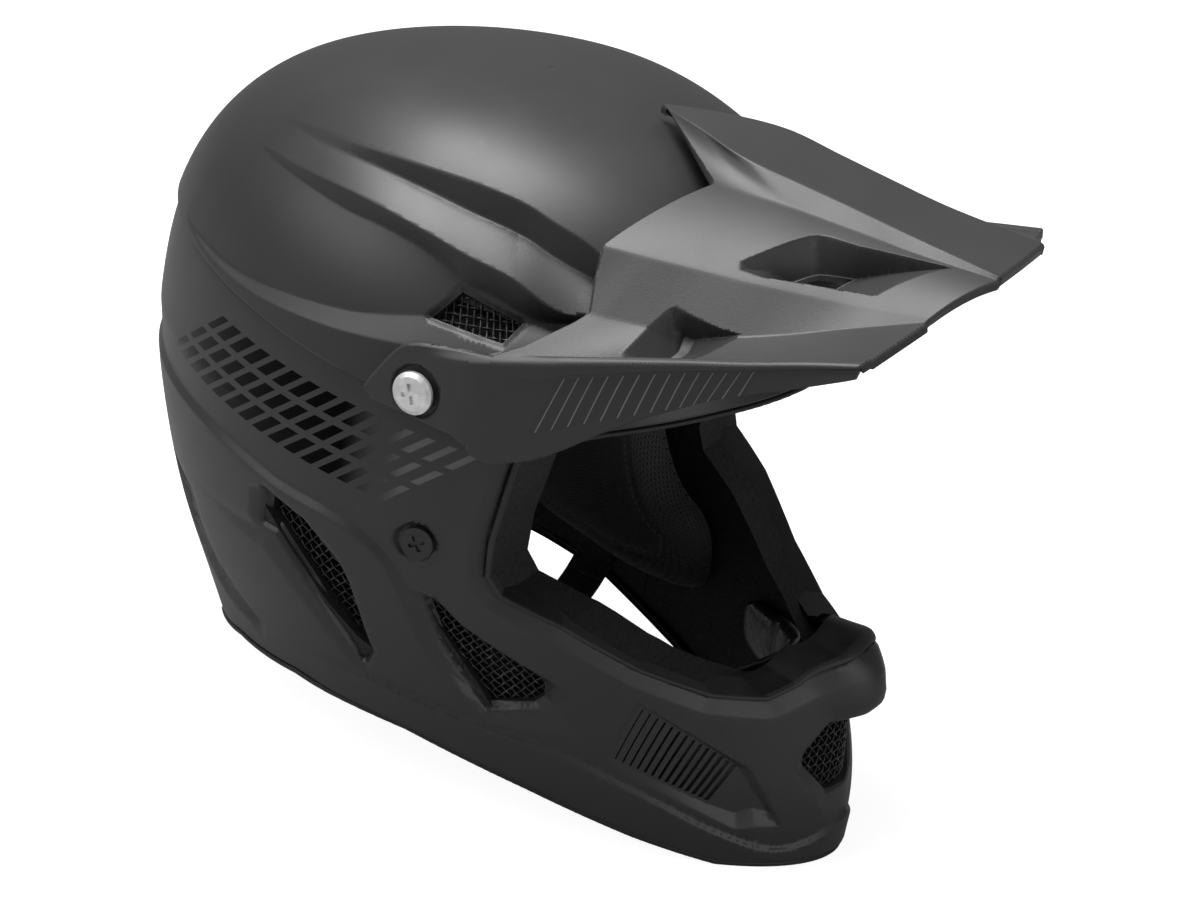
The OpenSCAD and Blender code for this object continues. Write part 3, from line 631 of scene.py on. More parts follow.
# Strap webbing: ribs across, warp bundles along, high threads painted brighter as highlight and low ones
# darker as shade.
def webPaint():
    p = Paint("webbing", sheen_weight=0.3)
    u, v = p.layer("chart")
    warp, weft = v.wave(1.5), (u + v.wave(1.5) * 0.5).wave(1.2)
    thread = warp * 0.5 + weft * 0.5
    # The threads' height also sets their colour: painted highlight on the high threads, painted shade on the
    # low ones.
    base = p.mix(thread.step(0.3, 0.9), (0.01, 0.01, 0.01), (0.04, 0.04, 0.042))
    return p.finish(base, 0.6 + p.noise(1.2) * 0.22, thread * 0.3 + p.noise(0.4) * 0.05)


# Metal or hard nylon with fine turned scratches, a few darker rubbed patches and small pits.
def metalPaint(name, colour, rough, metallic, grain):
    p = Paint(name, metallic=metallic)
    patch, fine = p.noise(4.0, 4), p.noise(0.28, 2)
    base = p.mix(patch.step(0.35, 0.7), times(0.8, colour), colour)
    rough = rough + patch * 0.16 - 0.06 + fine * 0.06
    return p.finish(base, rough, fine * grain + p.noise(1.6, 3) * grain)


cheekSeam, innerSeam = 13.0, 7.0
shellPaint, jawPaint, visorPaint = crownPlastic(), jawPlastic(decalFacts), visorPlastic(hatchFacts)
rubber, foam, wireMetal = rubberPaint(), foamPaint(), wirePaint()
padFabric, innerFabric = coverPaint("padFabric", cheekSeam), coverPaint("innerFabric", innerSeam)
chinVinyl, webbing = vinylPaint(), webPaint()

# Small parts that keep their CAD shape: colour, roughness, metallic, grain and nodes.
metalFacts = {
    "aluminium": ((0.9, 0.9, 0.91), 0.34, 0.72, 0.012, ["visor_screw_left", "visor_screw_right"]),
    "blackMetal": ((0.016, 0.016, 0.017), 0.32, 0.0, 0.012, ["low_screws", "strap_snap"]),
    "brass": ((0.62, 0.45, 0.2), 0.34, 1.0, 0.012, ["visor_inserts", "low_inserts"]),
    "steel": ((0.5, 0.5, 0.51), 0.28, 1.0, 0.012, ["outer_ring", "inner_ring"]),
    "nylon": ((0.02, 0.02, 0.02), 0.5, 0.0, 0.03, ["visor_spacers"]),
}
nodePaint = {node: foam for node in ("crown_liner", "base_liner", "chin_liner")}
for name, (*facts, nodes) in metalFacts.items():
    nodePaint.update(dict.fromkeys(nodes, metalPaint(name, *facts)))
for name, material in nodePaint.items():
    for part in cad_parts[name].material_slots:
        part.material = material


# Outlines on the shell as (way round, height) pairs, from the front and from the base
templeHole = drawn([(191, 225), (159, 219), (169, 210.5), (203, 213)])
rearHole = drawn([(250, 120), (233, 115.5), (226, 110.5), (219, 103), (215, 97), (209, 84), (203, 67),
                  (207, 61.5), (210, 67), (229, 90), (246, 106), (252, 106)])
rearEdge = drawn([(296, 99.5), (258, 104.5), (257, 119), (251, 121.5), (233, 117), (225, 112), (217.5, 104),
                  (213.5, 97), (207.5, 84), (201.5, 67), (204, 53), (210, 56), (216, 64), (233, 81),
                  (251, 95), (255, 94)])
cheekHole = drawn([(183, 98.5), (181, 99.5), (168, 90), (133, 73), (133.5, 64), (138, 60), (157, 55),
                   (174, 82)])
cheekEdge = drawn([(193, 103), (184, 102.5), (172, 93.5), (132, 74.5), (121, 69), (121, 50), (159, 47.5),
                   (166, 58), (172, 70), (184, 89)])
mouthHole = drawn([(-12, 62.5), (16, 62), (27, 50), (27, 45), (12.5, 32), (-12, 32)])
mouthEdge = drawn([(-12, 66), (17.5, 65.5), (31, 51), (35, 45), (9, 17), (-12, 17)])
louvreEdge = drawn([(113, 43), (98, 71), (64, 51), (54, 46), (48.5, 38), (36, 19.5), (47, 19), (58, 17.5),
                    (105, 36.5)])
louvreFloor = drawn([(111, 44), (97, 69.5), (63, 49), (56, 44), (50, 35), (42, 25), (49, 26.5), (57, 24),
                     (70, 27.5), (108, 42)])
rearPocket = drawn([(303, 92), (292, 70), (277, 61), (254, 51), (262, 46), (292, 50), (322, 64), (330, 96)])
rearPocketFloor = drawn([(307, 92), (298, 68), (282, 58), (266, 51), (292, 56), (318, 68), (326, 94)])

skirtLine = [[0, 20], [10, 14], [23, 9], [34, 16], [45, 29], [57, 42], [71, 47.5], [81, 53], [180, 34]]
bevelLine = [[0, 32], [40, 32], [57, 52], [64, 56], [69, 68], [76, 102], [80, 114], [84, 120], [90, 124],
             [101, 126], [108, 128.5], [117, 131], [140, 133], [180, 136]]
seamLine = np.array([[-190, 197], [-96, 193], [-44, 188], [13, 182], [74, 176], [100, 186], [130, 195],
                     [152, 200], [250, 200]])
portLine = np.array([[250, 104], [184, 99], [181, 91], [173, 80], [165, 74], [147, 75], [123, 84], [96, 100],
                     [74, 109], [69, 117], [69, 133]])
baseLine = np.array([[-190, 0], [-79, 0], [-70, 22], [-45, 32], [-10, 36], [40, 31], [88, 19], [130, 7],
                     [160, 0], [250, 0]])
bead, gap = 2.4, 0.3  # width of the rubber beads and of the joint


# Side view coordinates, reach and height, of chart points on the bare shell.
def sideView(q):
    p = onShell(np.abs(q[:, 0]), q[:, 1], 0.0)
    return np.stack([mid - p[:, 1], p[:, 2]], -1)


# Chart points folded onto the left half.
def folded(q):
    return np.stack([np.abs(q[:, 0]), q[:, 1]], -1)


sideTop, sideFoot = [[250, 400], [-190, 400]], [[250, -60], [-190, -60]]
aboveSeam = np.concatenate([seamLine, sideTop])
portShape = np.concatenate([seamLine[4:], portLine])
belowBase = np.concatenate([baseLine, sideFoot])


# Signed distances in the side view: above the seam, outside the eyeport, above the base trim and
# below the joint at the seam.
def seamField(q):
    return inside(sideView(q), aboveSeam)


# Distance outside the eyeport.
def portField(q):
    return -inside(sideView(q), portShape)


# Distance above the base trim: outside its outline, less the bead and a gap.
def baseField(q):
    return -inside(sideView(q), belowBase) - bead - gap


# Distance below the joint at the seam: the seam's own turned round, less a gap.
def underSeam(q):
    return -seamField(q) - gap


# Distance above a line of [angle, height] pairs: the rise over it, shortened by the line's slope
# (one degree is about uMax / 180 long).
def lineField(keys):
    def field(q):
        a = angleOf(np.abs(q[:, 0]))
        slope = (curve(a + 0.5, keys) - curve(a - 0.5, keys)) * (180 / uMax) * 0.9
        return (q[:, 1] - upOf(curve(a, keys))) / np.sqrt(1 + slope ** 2)
    return field


# Distance inside an outline on the chart.
def shapeField(polygon):
    return lambda q: inside(folded(q), polygon)


# The same distance turned round: how far a place is outside the outline.
def clearOf(polygon):
    return lambda q: -inside(folded(q), polygon)


skirtField, bevelField = lineField(skirtLine), lineField(bevelLine)

# The louvre's slots: how many, the first one's top and foot and half width, and their change from
# the first to the last.
slotFacts = {"count": 14, "top": ((95.5, 67.5), (-37.5, -22)), "foot": ((108.5, 43.0), (-38, -14)),
             "half": (0.28, 0.95)}


# Each slot is a slanted bar between its foot and its top.
def slotShapes(f):
    shapes = []
    for k in range(f["count"]):
        s = k / (f["count"] - 1)
        top, foot = (np.array(f[end][0]) + np.array(f[end][1]) * s for end in ("top", "foot"))
        w = np.array([f["half"][0] + f["half"][1] * s, 0])
        shapes.append(drawn([foot - w, foot + w, top + w, top - w]))
    return shapes


slotFields = [shapeField(s) for s in slotShapes(slotFacts)]
lowSpot, screwHole = np.array([194.0, 124.5]), 3.4


# Distance from the low screw's place.
def lowField(q):
    return np.hypot(np.abs(q[:, 0]) - lowSpot[0], q[:, 1] - lowSpot[1])


# Part of the way from an outer outline (0) to an inner one (1), below 0 outside both.
def between(q, outline, floor):
    o, i = inside(q, outline), inside(q, floor)
    return np.where(i >= 0, 1, o / np.maximum(o - i, 1e-6))


# Deepening close round a hole, where the foam behind is cut away.
def holeDip(w, hole, depth, width=2.2):
    return depth * ramp(1 + inside(w, hole) / width, 0.15)


# Rounding of an edge: a drop that grows with the square of what is left of r.
def edgeDrop(g, r=0.9):
    return np.where(g < r, r * (1 - np.clip(g, 0, r) / r) ** 2, 0) * 0.9


# Jaw shell: its thickness, the depths of its recesses and the rise of the skirt and of the lip, in
# millimetres, and the widths over which they come in.
jawFacts = {"thick": 3.0, "skirt": 1.5, "skirtWide": 1.6, "bevel": 2.0, "bevelWide": 3.2, "vent": 3.0,
            "cheekDip": 3.0, "rearDip": 3.5, "mouth": 2.9, "mouthDip": 1.4, "louvre": 3.0, "port": 3.1,
            "portWide": 6.5, "lip": 10.5, "lipHalf": 27, "screwSeat": 1.6, "seatR": 8.0, "seatWide": 0.8}
lipKeys = [[58, 0], [64, 0.3], [73, 0.95], [80, 1], [90, 0.82], [100, 0.2], [110, 0]]


# Rise of the lip over the mouth vent: a curve of height times an eased fall to both sides.
def lipRise(u, h):
    return jawFacts["lip"] * curve(h, lipKeys) * smooth(1 - np.abs(u) / jawFacts["lipHalf"])


# Relief of the jaw shell over its plain form: the sum of its skirt, bevel, vents, louvre, eyeport
# border, lip and screw seat, rounded at its edges.
def jawRelief(q):
    f, w = jawFacts, folded(q)
    a, h = angleOf(w[:, 0]), heightOf(w[:, 1])
    d = f["skirt"] * run(a, [[78, 1], [95, 0]]) * ramp(0.5 - skirtField(q) / f["skirtWide"], 0.3)
    d -= f["bevel"] * run(a, [[60, 0], [70, 1]]) * ramp(bevelField(q) / f["bevelWide"] + 0.5, 0.12)
    for edge, hole, dip in ((cheekEdge, cheekHole, f["cheekDip"]), (rearEdge, rearHole, f["rearDip"])):
        d -= f["vent"] * ramp(between(w, edge, hole)) + holeDip(w, hole, dip)
    d -= f["vent"] * ramp(between(w, rearPocket, rearPocketFloor))
    d -= f["mouth"] * ramp(between(w, mouthEdge, mouthHole)) + holeDip(w, mouthHole, f["mouthDip"], 1.0)
    shallow = run(w[:, 0], [[55, 1], [112, 0.05]])
    d -= f["louvre"] * shallow * ramp(between(w, louvreEdge, louvreFloor))
    port = portField(q)
    d -= f["port"] * ramp(1 - port / f["portWide"], 0.1) * run(w[:, 0], [[16, 0.35], [30, 1]])
    d += lipRise(w[:, 0], h)
    d -= f["screwSeat"] * ramp((f["seatR"] - lowField(q)) / f["seatWide"], 0.2)
    return d - edgeDrop(np.minimum(port, np.minimum(underSeam(q), baseField(q))))


# Crown shell: the seven lines over which its height steps, as [angle, height] pairs, and for three
# of them the depth below the dome as shares of "gill" by angle.
crownKeys = {
    "seam": [[0, 200], [20, 197], [40, 190], [55, 183], [66, 176], [89, 180.5], [95, 182], [101, 184],
             [109, 186.5], [117, 188.5], [129, 192], [141, 191], [180, 196]],
    "ledgeLow": [[0, 214], [50, 211], [57, 210], [68, 206], [84, 200], [90, 198], [99, 196], [111, 194],
                 [123, 194], [135, 196.5], [180, 200]],
    "ledgeTop": [[0, 219], [50, 221], [57, 221], [64, 219], [80, 213], [91, 205.5], [97, 203], [104, 200.5],
                 [114, 197.2], [124, 196], [135, 197.2], [180, 200.8]],
    "lowFoot": [[0, 235], [50, 224], [57, 222], [64, 222], [69, 225.5], [75, 227.5], [78, 231], [83, 234.5],
                [91, 237], [102, 237.2], [116, 238], [130, 237.6], [180, 236]],
    "lowLip": [[0, 237], [50, 226], [57, 223.5], [66, 231.5], [75, 235.5], [82, 238.5], [92, 241.2],
               [104, 242], [118, 240], [130, 238.4], [180, 236.8]],
    "topFoot": [[0, 247], [45, 233], [52, 238], [58, 242.3], [63, 246], [77, 250], [89, 252], [102, 252],
                [115, 250.2], [130, 248.2], [180, 247]],
    "topLip": [[0, 249], [45, 236], [50, 244], [58, 250], [63, 253], [71, 255.2], [79, 256.2], [92, 256.2],
               [105, 255], [118, 252.6], [130, 249.2], [180, 248]],
}
crownFacts = {"thick": 3.0, "gill": 6.0, "ventDip": 1.2, "round": 0.5}
stepDepths = {
    "ledgeTop": [[40, 0], [58, 1], [100, 0.62], [126, 0.3], [138, 0]],
    "lowFoot": [[42, 0], [56, 0.85], [75, 1], [100, 0.72], [129, 0]],
    "topFoot": [[30, 0], [48, 0.85], [65, 1], [91, 0.72], [129, 0]],
}


# Relief of the crown: straight runs in height between the seven lines, taken at three heights and
# averaged so that each corner is rounded.
def crownSteps(a, v):
    lines = np.stack([upOf(curve(a, keys)) for keys in crownKeys.values()])
    depths = np.stack([-crownFacts["gill"] * run(a, stepDepths[k]) if k in stepDepths else 0 * a
                       for k in crownKeys])
    total = np.zeros_like(v)
    for shift in (-crownFacts["round"], 0, crownFacts["round"]):
        x = v + shift
        d = np.zeros_like(v)
        for k in range(len(lines) - 1):
            lo, hi = lines[k], lines[k + 1]
            t = (x - lo) / np.maximum(hi - lo, 0.01)
            d = np.where((t >= 0) & (t < 1), depths[k] + (depths[k + 1] - depths[k]) * t, d)
        total += d / 3
    return total


# The steps, a dip round the temple hole and the rounded edge at the seam.
def crownRelief(q):
    w = folded(q)
    d = crownSteps(angleOf(w[:, 0]), w[:, 1])
    d -= crownFacts["ventDip"] * ramp(1 + inside(w, templeHole) / 2.2, 0.2)
    return d - edgeDrop(seamField(q))


# Rise over one of the crown's lines.
def crownLine(name):
    return lambda q: q[:, 1] - upOf(curve(angleOf(np.abs(q[:, 0])), crownKeys[name]))


# How fine the nets are: the shortest and longest edges, and the growth away from the marked lines.
netFacts = {"jaw": (2.6, 0.38, 6), "crown": (1.55, 0.38, 6), "visor": (1.4, 0.3, 6), "slots": 0.42,
            "louvre": 1.3, "coarse": 50, "across": 82}


# Distance to the nearest of some marks.
def nearest(marks, q):
    return np.min(np.abs([f(q) for f in marks]), 0)


print("scene: jaw shell")
jawMarks = [skirtField, bevelField, portField, lambda q: lowField(q) - jawFacts["seatR"]]
jawMarks += [shapeField(s) for s in (cheekEdge, cheekHole, rearEdge, rearHole, mouthEdge, mouthHole,
                                     louvreEdge, louvreFloor)]


# Length wanted of an edge: the least, and more by a share of the distance to the nearest mark.
def jawLength(q):
    low, growth, high = netFacts["jaw"]
    return np.clip(low + growth * nearest(jawMarks, q), low, high)


# Finest at the slots, fine over the louvre.
def slotLength(q):
    slots = np.max([f(q) for f in slotFields], 0)
    wide = np.where(inside(folded(q), louvreEdge) > -1, netFacts["louvre"], netFacts["coarse"])
    return np.where(slots > -0.45, netFacts["slots"], wide)


# The jaw's net is cut to the shell's outline, scored along its lines and opened at its holes.
def jawNet():
    net = Net(np.linspace(0, uMax, netFacts["across"]), np.arange(-6, 217, 5.0))
    for field in (baseField, underSeam, portField):
        net.clip(field)
    net.refine(jawLength)
    lines = [(skirtField, (-0.8, 0.8)), (bevelField, (-1.8, -1.3, 1.3, 1.8))]
    lines += [(shapeField(s), (0,)) for s in (cheekEdge, rearEdge, mouthEdge, louvreEdge, louvreFloor,
                                              rearPocket)]
    lines += [(portField, (0.9, 5.9, 6.9)), (shapeField(cheekHole), (-2.2,)),
              (shapeField(rearHole), (-2.2,)), (shapeField(mouthHole), (-1,)), (underSeam, (0.9,)),
              (baseField, (0.9,)), (lowField, (7.2, 8.0))]
    for field, shifts in lines:
        for shift in shifts:
            net.score(field, shift)
    for hole in (cheekHole, rearHole, mouthHole):
        net.clip(clearOf(hole))
    net.refine(slotLength)
    for field in slotFields:
        net.clip(lambda q: -field(q))
    net.clip(lowField, screwHole)
    return net


net = jawNet()
bend("jawShell", net, onShell, jawRelief, jawFacts["thick"], planes=(0, uMax), material=jawPaint,
     nodes=["jaw_shell"])
print("  triangles of a quarter", len(net.t))

print("scene: crown shell")
crownMarks = [crownLine(k) for k in crownKeys] + [shapeField(templeHole)]


# Coarser towards the back, where the steps have died away.
def crownLength(q):
    low, growth, high = netFacts["crown"]
    busy = smooth((uMax * 0.86 - np.abs(q[:, 0])) / 40)
    return np.clip(low + growth * nearest(crownMarks, q) + 4 * (1 - busy), low, high)


# The crown's net is cut at the seam, scored along its lines and opened at the temple.
def crownNet():
    net = Net(np.linspace(0, uMax, netFacts["across"]), np.linspace(168, vMax - 0.01, 42))
    net.clip(seamField)
    net.refine(crownLength)
    for name in list(crownKeys)[1:]:
        for shift in (-0.5, 0, 0.5):
            net.score(crownLine(name), shift)
    net.score(seamField, 0.9)
    net.clip(clearOf(templeHole))
    return net


net = crownNet()
bend("crownShell", net, onShell, crownRelief, crownFacts["thick"], planes=(0, uMax),
     material=shellPaint, nodes=["crown_shell"])
print("  triangles of a quarter", len(net.t))

# The visor's chart: u is the way across from the ridge, v the way along from its back. Each long
# line of the left half gives (x, reach, height) at the stations of v; the arms run on behind.
stations = [-46, -22, 0, 22, 44, 66, 88, 112, 142]
visorLines = {
    "centre": (0, [(0, 54.5, 276), (0, 77, 276.6), (0, 98, 275.4), (0, 120, 272.8), (0, 142, 270.3),
                   (0, 168, 267.3), (0, 206.8, 264.4)]),
    "crest": (22, [(2.5, 57.5, 275.8), (13, 77, 276.2), (22.4, 98, 274.8), (22, 120, 272.2), (21, 142, 269.7),
                   (21, 168, 266.7), (24, 206.3, 264)]),
    "crease": (38, [(34, 95.5, 265.8), (33, 109, 265.5), (31, 124.1, 265.4), (29.3, 139.6, 264.6),
                    (28, 155.1, 263.8), (26.3, 174, 262.7), (24.8, 206, 263)]),
    "edge": (84, [(83, 77, 248.2), (79, 96, 248.4), (74, 114.5, 248.5), (69.4, 132.5, 248.6),
                  (63.8, 150.5, 248.9), (58.6, 168.3, 249.5), (53, 193.5, 252.1)]),
    "fold": (114, [(126.4, 14, 226), (126.2, 33, 227), (103, 68, 228), (98, 92, 229), (93, 112, 230),
                   (87, 130, 232), (78, 148, 236.5), (67, 168, 243), (54.5, 192.8, 251)]),
    "shelf": (138, [(126.6, 14, 196), (126.6, 36, 202.5), (126, 58, 208), (120, 80, 213.5), (114, 102, 220),
                    (108, 126, 227), (103, 148, 233), (98, 168, 239), (94.5, 186, 244)]),
    "hem": (166, [(127, 14, 166), (127.2, 36, 168), (127.5, 58, 172), (122, 80, 181), (116, 102, 193),
                  (110, 124, 207), (105, 142, 218), (100, 165, 229), (96, 185, 239)]),
}
visorFacts = {"thick": 2.6, "front": 142, "swell": 2.0, "crease": 1.0, "edge": 1.3, "axis": (38.0, 189.0),
              "hole": 3.05, "seat": 1.5, "seatR": 10.2, "seatWide": 0.8, "rib": 0.9, "ribAt": (134.2, 142.5),
              "ribWide": 0.8, "armFrom": 122}
visorFolds = (22, 38, 84, 114, 138)


# Place at v on one long line, as a smooth curve through its stations.
def longLine(points, v):
    keys = stations[len(stations) - len(points):]
    return np.stack([curve(v, list(zip(keys, column))) for column in zip(*points)], -1)


# Straight facets between the lines; the one over the temples swells by a parabola.
def visorFacets(u, v):
    w = np.abs(u)
    places = [place for place, _ in visorLines.values()]
    lines = [longLine(points, v) for _, points in visorLines.values()]
    total = np.zeros(w.shape + (3,))
    for k in range(len(lines) - 1):
        s = ((w - places[k]) / (places[k + 1] - places[k]))[..., None]
        facet = lines[k] * (1 - s) + lines[k + 1] * s
        if k == 2:
            facet = facet + 4 * s * (1 - s) * np.array([0, 0, visorFacts["swell"]])
        here = (w >= places[k]) & ((w < places[k + 1]) | (k == len(lines) - 2))
        total = np.where(here[..., None], facet, total)
    total[..., 0] *= np.where(u < 0, -1, 1)
    return total


# The facets with their creases rounded over 2r, as a mean over u - r, u, u and u + r; the net's
# second coordinate is the way back from the front, so that the chart is not mirrored.
def visorForm(u, back):
    r, v = visorFacts["crease"], visorFacts["front"] - back
    return (visorFacets(u - r, v) + 2 * visorFacets(u, v) + visorFacets(u + r, v)) / 4


# Point of the visor moved out by d along the cross of its slopes.
def onVisor(u, back, d):
    e = 0.5
    across = visorForm(u + e, back) - visorForm(u - e, back)
    along = visorForm(u, back + e) - visorForm(u, back - e)
    p = visorForm(u, back) + np.asarray(d)[..., None] * unit(np.cross(along, across))
    return np.stack([p[..., 0], mid - p[..., 1], p[..., 2]], -1)


# Outline of (across, along) pairs in the net's coordinates.
def visorDrawn(pairs):
    p = np.asarray(pairs, float)
    return np.stack([p[:, 0], visorFacts["front"] - p[:, 1]], -1)


visorOutline = visorDrawn([(-40, 0.4), (0, 0.4), (22, 0.6), (38, 0.8), (52, 0.6), (76, 1), (84, 1.5), (88, 4),
                           (100, 9), (113, 15), (119, 14), (130, 9), (135, 3), (166, 3), (170, 12),
                           (171.5, 26), (170, 38), (167, 50), (166, 60), (166, 141.8), (-40, 141.8)])
armOutline = np.array([(15.5, 181.5), (17.5, 186), (22.9, 195.5), (27, 202), (31, 205.5), (36.6, 207.3),
                       (49.1, 209.7), (66.6, 212.2), (90, 216), (90, 180), (73.9, 178.8), (60.5, 176.2),
                       (54.7, 178), (33.4, 178.6), (20, 179)])
topHole = visorDrawn([(76, 54), (67, 59), (58, 64), (52, 68), (49.5, 71), (48.5, 76), (48, 91), (40, 127),
                      (76, 115), (77.5, 98), (78.5, 84), (80, 68), (79.5, 57)])
topFloor = visorDrawn([(69, 72), (62, 76), (58, 79), (56, 85), (53, 95), (43, 124), (74, 113), (75, 90),
                       (76, 72)])
topOpen = visorDrawn([(69, 73), (62.3, 76.5), (58.5, 79.5), (56.5, 85.5), (54.5, 94), (74.5, 89), (75.5, 73)])
topRamp = (visorDrawn([(76, 115), (40, 127)]), 26, 12)
scoop = visorDrawn([(102.5, 43), (104, 41.5), (114, 38.3), (130, 43.5), (133, 46), (133, 69), (131, 70.2),
                    (112, 74)])
scoopFloor = visorDrawn([(111, 51), (117, 52), (130, 52.5), (131.5, 54), (131, 68), (114, 72.5)])
scoopRamp = (visorDrawn([(133, 70), (112, 74)]), 18, 8.5)


# How far a point lies behind a line, as a part of a length.
def behind(q, line, length):
    a, b = line
    along = (b - a) / np.linalg.norm(b - a)
    w = q - a
    return (w[:, 1] * along[0] - w[:, 0] * along[1]) / length


# Reach and height of net points, and whether they are on the arms.
def armView(q):
    return visorForm(np.abs(q[:, 0]), q[:, 1])[:, 1:]


# True where a place of the chart lies on an arm.
def onArm(q):
    return np.abs(q[:, 0]) > visorFacts["armFrom"]


# Distance inside the visor: inside its outline on the chart or, on the arms, in the side view.
def visorEdge(q):
    arm = np.where(onArm(q), inside(armView(q), armOutline), -1e3)
    return np.maximum(inside(folded(q), visorOutline), arm)


# Distance in the side view from the screw's axis.
def axisField(q):
    away = armView(q) - visorFacts["axis"]
    return np.where(onArm(q), np.hypot(away[:, 0], away[:, 1]), 1e3)


# Wall and sloping floor of a pocket, whose lesser depth counts.
def pocketSides(w, outline, floor, slope):
    line, length, deep = slope
    wall, fall = ramp(between(w, outline, floor), 0.05), ramp(np.abs(behind(w, line, length)), 0.03)
    return deep * wall, deep * fall


# Where a pocket's wall and floor meet, this is 0.
def pocketMeet(*pocket):
    def field(q):
        wall, floor = pocketSides(folded(q), *pocket)
        return wall - floor
    return field


topPocket, scoopPocket = (topHole, topFloor, topRamp), (scoop, scoopFloor, scoopRamp)
topMeet, scoopMeet = pocketMeet(*topPocket), pocketMeet(*scoopPocket)


# Relief of the visor: its pockets, a rib along the arm's fold, the screw's seat and rounded edges.
def visorRelief(q):
    f, w = visorFacts, folded(q)
    d = -np.minimum(*pocketSides(w, *topPocket))
    d -= np.minimum(*pocketSides(w, *scoopPocket))
    v, (low, high) = f["front"] - w[:, 1], f["ribAt"]
    rib = ramp((w[:, 0] - low) / f["ribWide"], 0.2) * ramp((high - w[:, 0]) / f["ribWide"], 0.2)
    d += f["rib"] * rib * ramp((v - 8) / 20)
    d -= f["seat"] * ramp((f["seatR"] - axisField(q)) / f["seatWide"], 0.2)
    return d - edgeDrop(visorEdge(q), f["edge"])


# Distance beside a line along the visor.
def lineAt(place):
    return lambda q: np.abs(q[:, 0]) - place


print("scene: visor")
visorMarks = [lineAt(place) for place in visorFolds + (134.6, 142.1)]
visorMarks += [shapeField(s) for s in (topHole, topFloor, scoop, scoopFloor)]
visorMarks += [visorEdge, lambda q: axisField(q) - 9.8]


# Finest in the pockets where wall and floor meet.
def visorLength(q):
    low, growth, high = netFacts["visor"]
    meet = nearest((topMeet, scoopMeet), q)
    deep = np.max([inside(folded(q), s) for s in (topHole, scoop)], 0) > 0
    plain = np.clip(low + growth * nearest(visorMarks, q), low, high)
    return np.where(deep & (meet < 1.2), 0.8, plain)


# The visor's net is cut to its outline, scored along folds, rib, pockets and seat, and opened.
def visorNet():
    net = Net(np.arange(0, 175.1, 5.0), np.arange(0, 190.1, 5.0))
    net.clip(visorEdge)
    net.refine(visorLength)
    lines = [(lineAt(place), shift) for place in visorFolds for shift in (-1, 1)]
    lines += [(lineAt(place), 0) for place in (134.2, 135.0, 141.7, 142.5)]
    lines += [(shapeField(shape), 0) for shape in (topHole, scoop, scoopFloor, topFloor)]
    lines += [(topMeet, 0), (scoopMeet, 0), (visorEdge, visorFacts["edge"]), (axisField, 10.2),
              (axisField, 9.4)]
    for field, shift in lines:
        net.score(field, shift)
    net.clip(clearOf(topOpen))
    net.clip(axisField, visorFacts["hole"])
    return net


net = visorNet()
bend("visorShape", net, onVisor, visorRelief, visorFacts["thick"], planes=(0,), material=visorPaint,
     body="visor", nodes=["visor"])
print("  triangles of a half", len(net.t))

# Rubber beads: the field they follow, the box of their net, the depth of their edge and their bulge.
beadFacts = {
    "portGasket": {"field": portField, "box": ((0, 201), (62, 218)), "planes": (0,), "edge": -2.4,
                   "bulge": 1.6, "node": "eyeport_gasket"},
    "baseTrim": {"field": baseField, "box": ((0, uMax), (-8, 50)), "planes": (0, uMax), "edge": -0.2,
                 "bulge": 1.0, "node": "base_trim"},
}
beadLow, beadHigh, beadThick, beadStep = -gap - bead, -0.1, 15.0, 3.0


# Net of the strip where beadLow < field < beadHigh.
def beadNet(box, field):
    net = Net(*(np.linspace(a, b, int((b - a) / beadStep) + 1) for a, b in box))
    net.refine(lambda q: np.where(np.abs(field(q) - (beadLow + beadHigh) / 2) < 4, 0.9, 50))
    net.clip(field, beadLow)
    net.clip(lambda q: -field(q), -beadHigh)
    return net


# The outer face bulges from the depth edge as half an ellipse across the strip.
def beadRelief(field, edge, bulge):
    def relief(q):
        t = np.clip((field(q) - beadLow) / (beadHigh - beadLow), 0, 1)
        rise = lipRise(q[:, 0], heightOf(q[:, 1]))
        return edge + rise + bulge * np.sqrt(np.clip(4 * t * (1 - t), 0, 1))
    return relief


print("scene: rubber beads")
for name, f in beadFacts.items():
    bend(name, beadNet(f["box"], f["field"]), onShell, beadRelief(f["field"], f["edge"], f["bulge"]),
         beadThick, planes=f["planes"], material=rubber, nodes=[f["node"]])

# Woven screens: the hole they fill, the turn and pitch of their wires and their depth. Those behind
# the crown follow its steps too; one is whole over the middle, the others are pairs.
screenFacts = {
    "templeScreens": {"hole": templeHole, "turn": -4, "pitch": 3.4, "depth": 3.5, "node": "temple_screens"},
    "rearScreens": {"hole": rearHole, "turn": 40, "pitch": 3.3, "depth": 9.2, "node": "rear_screens"},
    "cheekScreens": {"hole": cheekHole, "turn": 46, "pitch": 3.0, "depth": 8.6, "node": "cheek_screens"},
    "mouthScreen": {"hole": mouthHole, "turn": 45, "pitch": 3.0, "depth": 6.4, "node": "mouth_screen"},
}
crownScreens, wholeScreens = ("templeScreens",), ("mouthScreen",)
wireR, wireSides, wireStep, wireOver = 0.42, 5, 0.7, 2.2


